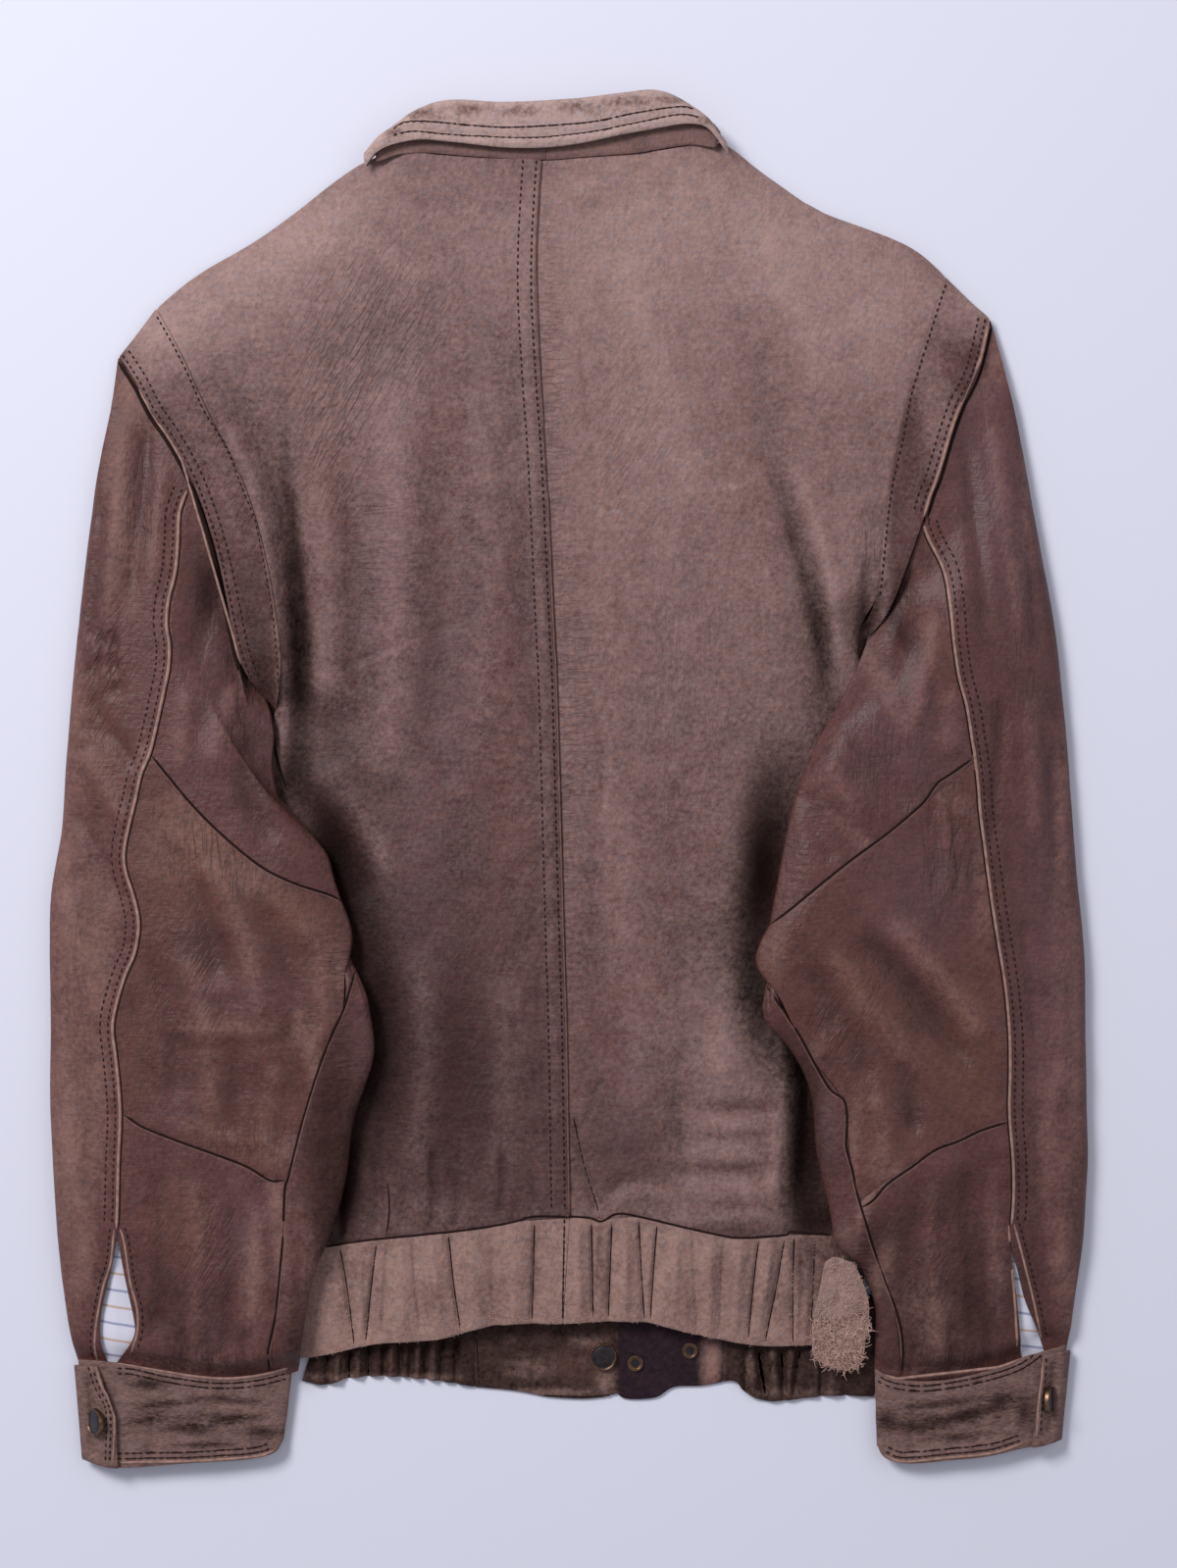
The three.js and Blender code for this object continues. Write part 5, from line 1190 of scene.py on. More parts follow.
def noise_node(tree, place, scale, detail=3.0, roughness=0.55):
    """A noise value at a place."""
    made = add_node(tree, "ShaderNodeTexNoise")
    link(tree, place, made.inputs["Vector"])
    set_inputs(made, Scale=scale, Detail=detail, Roughness=roughness)
    return made.outputs["Fac"]


def new_group(name, inputs, outputs):
    """An empty node group with its sockets, its place in the object and its output node."""
    tree = bpy.data.node_groups.new(name, "ShaderNodeTree")
    for label, kind in inputs:
        tree.interface.new_socket(label, in_out="INPUT", socket_type=kind)
    for label, kind in outputs:
        tree.interface.new_socket(label, in_out="OUTPUT", socket_type=kind)
    place = add_node(tree, "ShaderNodeTexCoord").outputs["Object"]
    start = add_node(tree, "NodeGroupInput")
    stop = add_node(tree, "NodeGroupOutput")
    return tree, place, start, stop


def grain_group():
    """Leather grain: a height with pebbles and soft swells, a fine speckle and a broad mottle."""
    tree, place, _, stop = new_group(
        "Leather grain", [],
        [("Height", "NodeSocketFloat"), ("Speckle", "NodeSocketFloat"), ("Mottle", "NodeSocketFloat")],
    )
    pebbles = add_node(tree, "ShaderNodeTexVoronoi", feature="F1")
    link(tree, place, pebbles.inputs["Vector"])
    set_inputs(pebbles, Scale=330.0)
    swell = noise_node(tree, place, 150.0, 4.0, 0.66)
    dents = math_node(tree, "MULTIPLY", pebbles.outputs["Distance"], 0.4)
    height = math_node(tree, "SUBTRACT", swell, dents)
    link(tree, height, stop.inputs["Height"])
    link(tree, noise_node(tree, place, 460.0, 3.0, 0.72), stop.inputs["Speckle"])
    link(tree, noise_node(tree, place, 46.0, 4.0, 0.62), stop.inputs["Mottle"])
    return tree


def wear_group(name, stretch, strength):
    """A broken mask of where the finish is rubbed off, for a share of wear; brushed across by a stretch."""
    tree, place, start, stop = new_group(name, [("Worn", "NodeSocketFloat")], [("Mask", "NodeSocketFloat")])
    brushed = add_node(tree, "ShaderNodeVectorMath", operation="MULTIPLY")
    link(tree, place, brushed.inputs[0])
    brushed.inputs[1].default_value = (1.0, stretch, 1.0)
    flecks = ranged(tree, noise_node(tree, brushed.outputs[0], 360.0, 3.0, 0.7), 0.3, 0.7, -0.5, 0.5)
    areas = ranged(tree, noise_node(tree, brushed.outputs[0], 85.0, 5.0, 0.7), 0.3, 0.7, -0.5, 0.5)
    fleck_part = math_node(tree, "MULTIPLY", flecks, 0.40 * strength)
    area_part = math_node(tree, "MULTIPLY", areas, 0.26 * strength)
    broken = math_node(tree, "ADD", fleck_part, area_part)
    broken = math_node(tree, "MULTIPLY", broken, ranged(tree, start.outputs["Worn"], 0.0, 0.3))
    level = math_node(tree, "ADD", start.outputs["Worn"], broken)
    link(tree, ranged(tree, level, 0.0, 1.0), stop.inputs["Mask"])
    return tree


WRINKLE_LONG = 45.0
WRINKLE_SHORT = 230.0


def wrinkle_group():
    """Fine wrinkles: a height for lines that run across, on the slant and upright, by three shares."""
    tree, place, start, stop = new_group(
        "Fine wrinkles", [("Crimp", "NodeSocketVector")], [("Height", "NodeSocketFloat")],
    )
    parts = add_node(tree, "ShaderNodeSeparateXYZ")
    link(tree, start.outputs["Crimp"], parts.inputs[0])
    total = 0.0
    for axis, turn in (("X", 0.0), ("Y", -1.05), ("Z", math.pi / 2)):
        turned = add_node(tree, "ShaderNodeMapping")
        link(tree, place, turned.inputs["Vector"])
        turned.inputs["Rotation"].default_value = (0.0, 0.0, turn)
        stretched = add_node(tree, "ShaderNodeVectorMath", operation="MULTIPLY")
        link(tree, turned.outputs["Vector"], stretched.inputs[0])
        stretched.inputs[1].default_value = (WRINKLE_LONG, WRINKLE_SHORT, WRINKLE_LONG)
        ripples = noise_node(tree, stretched.outputs[0], 1.0, 3.0, 0.5)
        fold = math_node(tree, "ABSOLUTE", math_node(tree, "SUBTRACT", ripples, 0.5), 0.0)
        lines = ranged(tree, fold, 0.0, 0.09, -1.0, 0.0)
        total = math_node(tree, "ADD", math_node(tree, "MULTIPLY", lines, parts.outputs[axis]), total)
    link(tree, total, stop.inputs["Height"])
    return tree


def new_material(name):
    """A material with its shader ready."""
    made = bpy.data.materials.new(name)
    made.use_nodes = True
    return made, made.node_tree, made.node_tree.nodes["Principled BSDF"]


def group_node(tree, group, **values):
    """A use of a shared group."""
    made = add_node(tree, "ShaderNodeGroup")
    made.node_tree = group
    set_inputs(made, **values)
    return made


def bump(tree, shader, height, strength, distance):
    """Feeds a height into a shader's normal."""
    made = add_node(tree, "ShaderNodeBump")
    set_inputs(made, Strength=strength, Distance=distance)
    link(tree, height, made.inputs["Height"])
    link(tree, made.outputs["Normal"], shader.inputs["Normal"])


def tint_socket(tree):
    """The colour painted on the piece."""
    return add_node(tree, "ShaderNodeVertexColor", layer_name="tint").outputs["Color"]


WARM_SPECKLE = (1.13, 1.0, 0.87)
COOL_SPECKLE = (0.84, 0.94, 1.03)
SKIN_ROUGHNESS = 0.85
SKIN_SPECULAR = 0.12


def scaled_colour(tree, tint, share):
    """A colour made paler or darker by a value."""
    made = add_node(tree, "ShaderNodeVectorMath", operation="SCALE")
    if isinstance(tint, tuple):
        made.inputs[0].default_value = tint
    else:
        link(tree, tint, made.inputs[0])
    link(tree, share, made.inputs["Scale"])
    return made.outputs[0]


def leather(name, groups, settings, skin, roughness, specular, sheen=0.0):
    """Worn leather: a speckled finish in its painted tint, paler skin where the finish is rubbed off,
    painted shade in the fine wrinkle lines, and less shine where the tint holds painted shade.
    """
    made, tree, shader = new_material(name)
    grain = group_node(tree, groups["grain"])
    wrinkles = group_node(tree, groups["wrinkles"])
    crimp_value = add_node(tree, "ShaderNodeAttribute", attribute_name="crimp")
    link(tree, crimp_value.outputs["Vector"], wrinkles.inputs["Crimp"])
    tint = tint_socket(tree)
    warm = mix_colours(tree, 1.0, tint, WARM_SPECKLE, "MULTIPLY")
    cool = mix_colours(tree, 1.0, tint, COOL_SPECKLE, "MULTIPLY")
    finish = mix_colours(tree, ranged(tree, grain.outputs["Speckle"], 0.36, 0.64), cool, warm)
    finish = scaled_colour(tree, finish, ranged(tree, grain.outputs["Mottle"], 0.3, 0.7, 0.74, 1.26))
    worn = add_node(tree, "ShaderNodeAttribute", attribute_name="worn")
    rubbed = group_node(tree, groups["wear"])
    link(tree, worn.outputs["Fac"], rubbed.inputs["Worn"])
    light = tuple(part * share for part, share in zip(skin, WARM_SPECKLE))
    dark = tuple(part * share for part, share in zip(skin, COOL_SPECKLE))
    bare = mix_colours(tree, ranged(tree, grain.outputs["Speckle"], 0.3, 0.7), dark, light)
    mixed = mix_colours(tree, rubbed.outputs["Mask"], finish, bare)
    # Painted shade: the colour is darkened along the fine wrinkle lines.
    wrinkle_shaded = scaled_colour(tree, mixed, ranged(tree, wrinkles.outputs["Height"], -1.0, 0.0, 0.74, 1.0))
    link(tree, wrinkle_shaded, shader.inputs["Base Color"])
    matte = ranged(tree, rubbed.outputs["Mask"], 0.0, 1.0, roughness, SKIN_ROUGHNESS)
    link(tree, matte, shader.inputs["Roughness"])
    shine = ranged(tree, rubbed.outputs["Mask"], 0.0, 1.0, specular, SKIN_SPECULAR)
    # Shine is taken away where the tint holds painted shade.
    brightness = add_node(tree, "ShaderNodeRGBToBW")
    link(tree, tint, brightness.inputs["Color"])
    outside_painted_shade = ranged(tree, brightness.outputs["Val"], 0.006, 0.026, 0.08, 1.0)
    shine = math_node(tree, "MULTIPLY", shine, outside_painted_shade)
    link(tree, shine, shader.inputs["Specular IOR Level"])
    set_inputs(shader, Sheen_Weight=sheen, Sheen_Roughness=0.6)
    height = math_node(tree, "ADD", grain.outputs["Height"], wrinkles.outputs["Height"])
    bump(tree, shader, height, settings.grain_strength, settings.grain_depth)
    return made


LINING_PITCH = 19.4 * MM
LINING_SLOPE = 0.14
LINING_WHITE = colour(222, 220, 234)
LINING_BLUE = colour(158, 162, 188)
LINING_TAN = colour(200, 176, 160)


def lining():
    """White cloth with thin stripes across, blue and tan in turn."""
    made, tree, shader = new_material("Striped lining")
    place = add_node(tree, "ShaderNodeTexCoord").outputs["Object"]
    parts = add_node(tree, "ShaderNodeSeparateXYZ")
    link(tree, place, parts.inputs[0])
    slope = math_node(tree, "MULTIPLY", parts.outputs["X"], LINING_SLOPE)
    height = math_node(tree, "ADD", parts.outputs["Y"], slope)
    turns = math_node(tree, "FRACT", math_node(tree, "DIVIDE", height, LINING_PITCH), 0.0)
    cloth = LINING_WHITE
    for middle, tint in ((0.25, LINING_BLUE), (0.75, LINING_TAN)):
        away = math_node(tree, "ABSOLUTE", math_node(tree, "SUBTRACT", turns, middle), 0.0)
        stripe = ranged(tree, away, 0.03, 0.045, 1.0, 0.0)
        cloth = mix_colours(tree, stripe, cloth, tint)
    link(tree, cloth, shader.inputs["Base Color"])
    set_inputs(shader, Roughness=0.9, Specular_IOR_Level=0.2)
    bump(tree, shader, noise_node(tree, place, 1400.0, 2.0), 0.3, 0.0002)
    return made


METAL_SPECULAR = 0.5
PLAIN_SPECULAR = 0.15


def plain(name, tint, roughness, metallic=0.0, variation=0.0, scale=300.0):
    """One tint, uneven by a share of itself."""
    made, tree, shader = new_material(name)
    place = add_node(tree, "ShaderNodeTexCoord").outputs["Object"]
    shade = ranged(tree, noise_node(tree, place, scale, 4.0), 0.3, 0.7, 1.0 - variation, 1.0 + variation)
    link(tree, scaled_colour(tree, tint, shade), shader.inputs["Base Color"])
    specular = METAL_SPECULAR if metallic else PLAIN_SPECULAR
    set_inputs(shader, Roughness=roughness, Metallic=metallic, Specular_IOR_Level=specular)
    return made


def make_finishes(settings):
    """Every material by its short name, made once."""
    groups = {"grain": grain_group(), "wear": wear_group("Wear", 1.0, 1.0), "wrinkles": wrinkle_group()}
    brushed = {**groups, "wear": wear_group("Brushed wear", 3.0, 1.7)}
    flecked = {**groups, "wear": wear_group("Flecked wear", 1.0, 2.1)}
    napped = {**groups, "wear": wear_group("Napped wear", 1.0, 1.4)}
    return {
        "back": leather("Back leather", groups, settings, SKIN_BACK, 0.45, 0.26),
        "sleeve": leather("Sleeve leather", groups, settings, SKIN_SLEEVE, 0.42, 0.3),
        "inner": leather("Inner leather", groups, settings, SKIN_BAND, 0.6, 0.25),
        "dark": leather("Dark leather", groups, settings, SKIN_SLEEVE, 0.5, 0.3),
        "collar": leather("Rubbed collar", flecked, settings, SKIN_COLLAR, 0.7, 0.2, 0.1),
        "band": leather("Rubbed waistband", napped, settings, SKIN_BAND, 0.7, 0.2, 0.12),
        "cuff": leather("Worn cuff", brushed, settings, SKIN_CUFF, 0.45, 0.35),
        "tab": leather("Rubbed tab", groups, settings, SKIN_TAB, 0.8, 0.15, 0.15),
        "lining": lining(),
        "edge": plain("Rubbed edge", EDGE_PALE, 0.75, 0.0, 0.3, 260.0),
        "seam_edge": plain("Seam edge", EDGE_MIDDLE, 0.65, 0.0, 0.3, 260.0),
        # Painted shade for grooves, folds and gathers, with the dark gap of seams.
        "groove": plain("Painted groove shade", GROOVE_SHADE_BROWN, 0.8, 0.0, 0.3, 260.0),
        "thread": plain("Thread", colour(46, 28, 26), 0.75, 0.0, 0.3, 500.0),
        "fibre": plain("Loose fibre", colour(180, 146, 134), 0.9, 0.0, 0.3, 300.0),
        "bronze": plain("Aged bronze", colour(128, 99, 78), 0.4, 1.0, 0.4, 420.0),
        "gunmetal": plain("Gunmetal", colour(54, 48, 50), 0.42, 0.7, 0.35, 420.0),
    }


LINE_STEP = 1.5 * MM
RAY_START = 0.2
DOWN = Vector((0.0, 0.0, -1.0))


def smooth_line(line, step=LINE_STEP):
    """A line in plan as evenly spaced places on a soft curve through its points."""
    padded = np.vstack([2 * line[0] - line[1], line, 2 * line[-1] - line[-2]])
    dense = []
    for i in range(1, len(padded) - 2):
        before, start, stop, after = padded[i - 1 : i + 3]
        for t in np.linspace(0.0, 1.0, 12, endpoint=False):
            curve = 2 * start + (stop - before) * t + (2 * before - 5 * start + 4 * stop - after) * t**2
            dense.append(0.5 * (curve + (3 * start - before - 3 * stop + after) * t**3))
    dense.append(line[-1])
    dense = np.array(dense)
    run = np.concatenate([[0.0], np.cumsum(np.linalg.norm(np.diff(dense, axis=0), axis=1))])
    places = np.linspace(0.0, run[-1], max(2, int(run[-1] / step)))
    return np.column_stack([np.interp(places, run, dense[:, axis]) for axis in (0, 1)])


def beside(line, offset):
    """A line in plan moved sideways: to the right of the picture where it runs down."""
    along = np.gradient(line, axis=0)
    along /= np.linalg.norm(along, axis=1)[:, None]
    side = np.column_stack([-along[:, 1], along[:, 0]])
    return line + side * offset


def tree_of(pieces):
    """One search tree over several pieces."""
    points, faces = [], []
    for piece in pieces:
        start = len(points)
        points.extend(vert.co.copy() for vert in piece.data.vertices)
        faces.extend([start + index for index in face.vertices] for face in piece.data.polygons)
    return BVHTree.FromPolygons(points, faces)


def dropped(tree, place):
    """The highest point of the pieces under a place in plan, and the way they face there, or None."""
    hit, normal, _, _ = tree.ray_cast(Vector((place[0], place[1], RAY_START)), DOWN)
    if hit is None:
        return None
    return hit, normal


PITCH_STEPS = 5
STITCH_STEPS = 3
LONGEST_STITCH = 1.6
STITCH_SIDES = 6
STITCH_RINGS = ((-0.5, 0.35), (-0.3, 0.9), (0.0, 1.0), (0.3, 0.9), (0.5, 0.35))


def add_stitch(points, faces, start, stop, normal, radius, sunk):
    """One thread stitch as a small spindle between two places."""
    along = stop - start
    middle = (start + stop) / 2 - normal * sunk
    side = along.cross(normal).normalized()
    first = len(points)
    for place, size in STITCH_RINGS:
        for i in range(STITCH_SIDES):
            turn = 2 * math.pi * i / STITCH_SIDES
            out = side * math.cos(turn) + normal * math.sin(turn)
            points.append(middle + along * place + out * radius * size)
    rings = len(STITCH_RINGS)
    for ring in range(rings - 1):
        for i in range(STITCH_SIDES):
            j = (i + 1) % STITCH_SIDES
            low, high = first + ring * STITCH_SIDES, first + (ring + 1) * STITCH_SIDES
            faces.append((low + i, low + j, high + j, high + i))
    faces.append(tuple(first + i for i in reversed(range(STITCH_SIDES))))
    last = first + (rings - 1) * STITCH_SIDES
    faces.append(tuple(last + i for i in range(STITCH_SIDES)))


def new_piece(name, points, faces, material):
    """A new mesh piece that rides on the jacket."""
    mesh = bpy.data.meshes.new(name)
    mesh.from_pydata([tuple(point) for point in points], [], faces)
    mesh.materials.append(material)
    mesh.shade_smooth()
    mesh.update()
    item = bpy.data.objects.new(name, mesh)
    bpy.context.scene.collection.objects.link(item)
    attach(item, "root")
    return item


def sew(name, rows, pieces, material, settings):
    """A piece of stitching: rows of stitches along lines in plan, laid on the pieces."""
    tree = tree_of(pieces)
    points, faces = [], []
    for line, offset in rows:
        places = beside(smooth_line(line, settings.stitch_pitch / PITCH_STEPS), offset * MM)
        for i in range(0, len(places) - PITCH_STEPS, PITCH_STEPS):
            ends = [dropped(tree, places[i]), dropped(tree, places[i + STITCH_STEPS])]
            if None in ends:
                continue
            (start, normal), (stop, other) = ends
            if (stop - start).length > LONGEST_STITCH * settings.stitch_pitch:
                continue
            facing = (normal + other).normalized()
            add_stitch(points, faces, start, stop, facing, settings.stitch_radius, settings.stitch_sunk)
    return new_piece(name, points, faces, material)


EDGE_SIDES = 8
EDGE_KERNEL = np.array([1.0, 2.0, 3.0, 2.0, 1.0]) / 9.0
EDGE_TIP = 0.3
EDGE_TAPER = 4.0
EDGE_HEIGHT = 0.75
# Rows of stitches that get a dark tube of painted groove shade under them.
GROOVE_SHADED_ROWS = ("collar", "cuffs", "band", "front_end")


def welt(name, lines, pieces, material, sunk=0.0):
    """Thin rounded rolls along lines in plan, laid on the pieces or sunk by a share of their radius."""
    tree = tree_of(pieces)
    points, faces = [], []
    for line, offset, radius in lines:
        places = beside(smooth_line(line), offset * MM)
        spine = []
        for place in places:
            found = dropped(tree, place)
            if found is not None:
                spine.append(found[0])
        heights = np.array([place.z for place in spine])
        eased_heights = np.convolve(np.pad(heights, 2, mode="edge"), EDGE_KERNEL, mode="valid")
        first = len(points)
        count = len(spine)
        for i, place in enumerate(spine):
            ahead = spine[min(i + 1, count - 1)] - spine[max(i - 1, 0)]
            side = Vector((-ahead.y, ahead.x, 0.0)).normalized()
            taper = min(1.0, EDGE_TIP + min(i, count - 1 - i) / EDGE_TAPER)
            for k in range(EDGE_SIDES):
                turn = 2 * math.pi * k / EDGE_SIDES
                out = side * math.cos(turn) + Vector((0.0, 0.0, EDGE_HEIGHT * math.sin(turn)))
                centre = Vector((place.x, place.y, eased_heights[i] - sunk * radius * MM))
                points.append(centre + out * radius * MM * taper)
        for i in range(count - 1):
            for k in range(EDGE_SIDES):
                j = (k + 1) % EDGE_SIDES
                low, high = first + i * EDGE_SIDES, first + (i + 1) * EDGE_SIDES
                faces.append((low + k, low + j, high + j, high + k))
        faces.append(tuple(first + k for k in reversed(range(EDGE_SIDES))))
        last = first + (count - 1) * EDGE_SIDES
        faces.append(tuple(last + k for k in range(EDGE_SIDES)))
    return new_piece(name, points, faces, material)


class JacketSettings(bpy.types.PropertyGroup):
    """Sizes and strengths a user would change."""

    crease_depth: FloatProperty(
        name="Crease depth", description="Depth of the listed creases, as a share", default=1.6,
        min=0.0, max=3.0, subtype="FACTOR",
    )
    pucker: FloatProperty(
        name="Pucker", description="Height of the broad puckers", default=0.6 * MM, unit="LENGTH",
        precision=5,
    )
    fine_pucker: FloatProperty(
        name="Fine pucker", description="Height of the small puckers", default=0.22 * MM, unit="LENGTH",
        precision=5,
    )
    # Painted highlight and rub: how much paler the tint is on a crease ridge.
    ridge_highlight: FloatProperty(
        name="Ridge highlight", description="How much paler a ridge is for each millimetre", default=0.06,
    )
    # Painted shade: how much darker the tint is in a crease trough.
    trough_shade: FloatProperty(
        name="Trough shade", description="How much darker a trough is for each millimetre", default=0.06,
    )
    ridge_wear: FloatProperty(
        name="Ridge wear", description="How much more a ridge is rubbed for each millimetre", default=0.07,
    )
    even_crimp: FloatProperty(
        name="Even wrinkles", description="Share of the fine wrinkles all over the leather", default=0.16,
    )
    # The floor of the painted shade in the troughs.
    darkest: FloatProperty(name="Darkest", description="The darkest a trough gets, as a share", default=0.45)
    grain_strength: FloatProperty(name="Grain", description="Strength of the leather grain", default=0.8)
    grain_depth: FloatProperty(
        name="Grain depth", description="Depth of the leather grain", default=0.6 * MM, unit="LENGTH",
        precision=5,
    )
    stitch_pitch: FloatProperty(
        name="Stitch pitch", description="From one stitch to the next", default=3.8 * MM, unit="LENGTH",
        precision=5,
    )
    stitch_radius: FloatProperty(
        name="Thread", description="Radius of the thread", default=0.62 * MM, unit="LENGTH", precision=5,
    )
    stitch_sunk: FloatProperty(
        name="Stitch sink", description="How far the thread is pulled in", default=0.1 * MM, unit="LENGTH",
        precision=5,
    )
    # The dark tube of painted groove shade under a row of stitches.
    groove_shade_radius: FloatProperty(
        name="Painted groove shade", description="Radius of the groove under a row of stitches", default=0.8 * MM,
        unit="LENGTH", precision=5,
    )
    key_power: FloatProperty(
        name="Key light", description="Power of the main light", default=76.0, unit="POWER",
    )
    fill_power: FloatProperty(
        name="Fill light", description="Power of the side light", default=5.0, unit="POWER",
    )
    sky: FloatProperty(name="Sky", description="Strength of the light all round", default=0.36)
    floor_tint: bpy.props.FloatVectorProperty(
        name="Floor", description="Colour of the floor", default=colour(226, 226, 240), size=3,
        subtype="COLOR",
    )


FINISHES = {}
SIDES = ("left", "right")


def finishes(settings):
    """The materials, made on the first call."""
    if not FINISHES:
        FINISHES.update(make_finishes(settings))
    return FINISHES


def make_shells(context, shells):
    """Dresses each shell of a list."""
    settings = context.scene.jacket
    for shell in shells:
        dressed(shell, settings, finishes(settings))
    return {"FINISHED"}


def piece(node):
    """The dressed piece of a node."""
    return bpy.data.objects[node + "_shell"]


class JACKET_OT_back(bpy.types.Operator):
    """Make the back panels and armhole strips"""

    bl_idname = "jacket.back"
    bl_label = "Back"

    def execute(self, context):
        return make_shells(context, BACK_SHELLS)


class JACKET_OT_fronts(bpy.types.Operator):
    """Make the front panels that lie underneath"""

    bl_idname = "jacket.fronts"
    bl_label = "Fronts"

    def execute(self, context):
        return make_shells(context, FRONT_SHELLS)


class JACKET_OT_sleeves(bpy.types.Operator):
    """Make the panels of both sleeves"""

    bl_idname = "jacket.sleeves"
    bl_label = "Sleeves"

    def execute(self, context):
        return make_shells(context, SLEEVE_SHELLS)


class JACKET_OT_collar(bpy.types.Operator):
    """Make the collar's fall, stand and front"""

    bl_idname = "jacket.collar"
    bl_label = "Collar"

    def execute(self, context):
        return make_shells(context, COLLAR_SHELLS)


class JACKET_OT_waistband(bpy.types.Operator):
    """Make the gathered waistband, its front ends and the side tab"""

    bl_idname = "jacket.waistband"
    bl_label = "Waistband"

    def execute(self, context):
        return make_shells(context, BAND_SHELLS)


class JACKET_OT_cuffs(bpy.types.Operator):
    """Make the cuffs, their tabs and the slit linings"""

    bl_idname = "jacket.cuffs"
    bl_label = "Cuffs"

    def execute(self, context):
        return make_shells(context, CUFF_SHELLS)


FIBRE_STEPS = 4
FIBRE_SEED = 7


def fuzz(name, node, low, high, count, length, width, material, curl):
    """Loose fibres on a piece, in a box of plan points: thin curled ribbons from seeded places."""
    chance = random.Random(FIBRE_SEED)
    tree = tree_of([piece(node)])
    points, faces = [], []
    for _ in range(count):
        place = plan(chance.uniform(low[0], high[0]), chance.uniform(low[1], high[1]))
        turn = chance.uniform(0.0, 2 * math.pi)
        bend = chance.uniform(-curl, curl)
        step = length * MM * chance.uniform(0.6, 1.2) / FIBRE_STEPS
        found = dropped(tree, place)
        if found is None:
            continue
        spot = found[0]
        first = len(points)
        for ring in range(FIBRE_STEPS + 1):
            side = Vector((-math.sin(turn), math.cos(turn), 0.0))
            half = width * MM * 0.5 * (1.0 - 0.7 * ring / FIBRE_STEPS)
            points.extend((spot + side * half, spot - side * half))
            rise = 0.7 - 0.4 * ring
            spot = spot + Vector((math.cos(turn), math.sin(turn), rise)) * step
            turn += bend
        for ring in range(FIBRE_STEPS):
            at = first + 2 * ring
            faces.append((at, at + 1, at + 3, at + 2))
    return new_piece(name, points, faces, material)


class JACKET_OT_fuzz(bpy.types.Operator):
    """Raise the curled pile of the side tab and the nap of the waistband's edge"""

    bl_idname = "jacket.fuzz"
    bl_label = "Fuzz"

    def execute(self, context):
        made = finishes(context.scene.jacket)
        fuzz("pile_side_tab_top", "side_tab", (822, 1276), (898, 1350), 900, 3.6, 0.4, made["fibre"], 1.5)
        fuzz("pile_side_tab_end", "side_tab", (822, 1345), (898, 1402), 1500, 5.6, 0.6, made["fibre"], 1.7)
        nap = (2200, 1.5, 0.2, made["fibre"], 0.7)
        fuzz("nap_band_left", "waistband_back_left", (300, 1340), (576, 1390), *nap)
        fuzz("nap_band_right", "waistband_back_right", (576, 1336), (850, 1384), *nap)
        return {"FINISHED"}


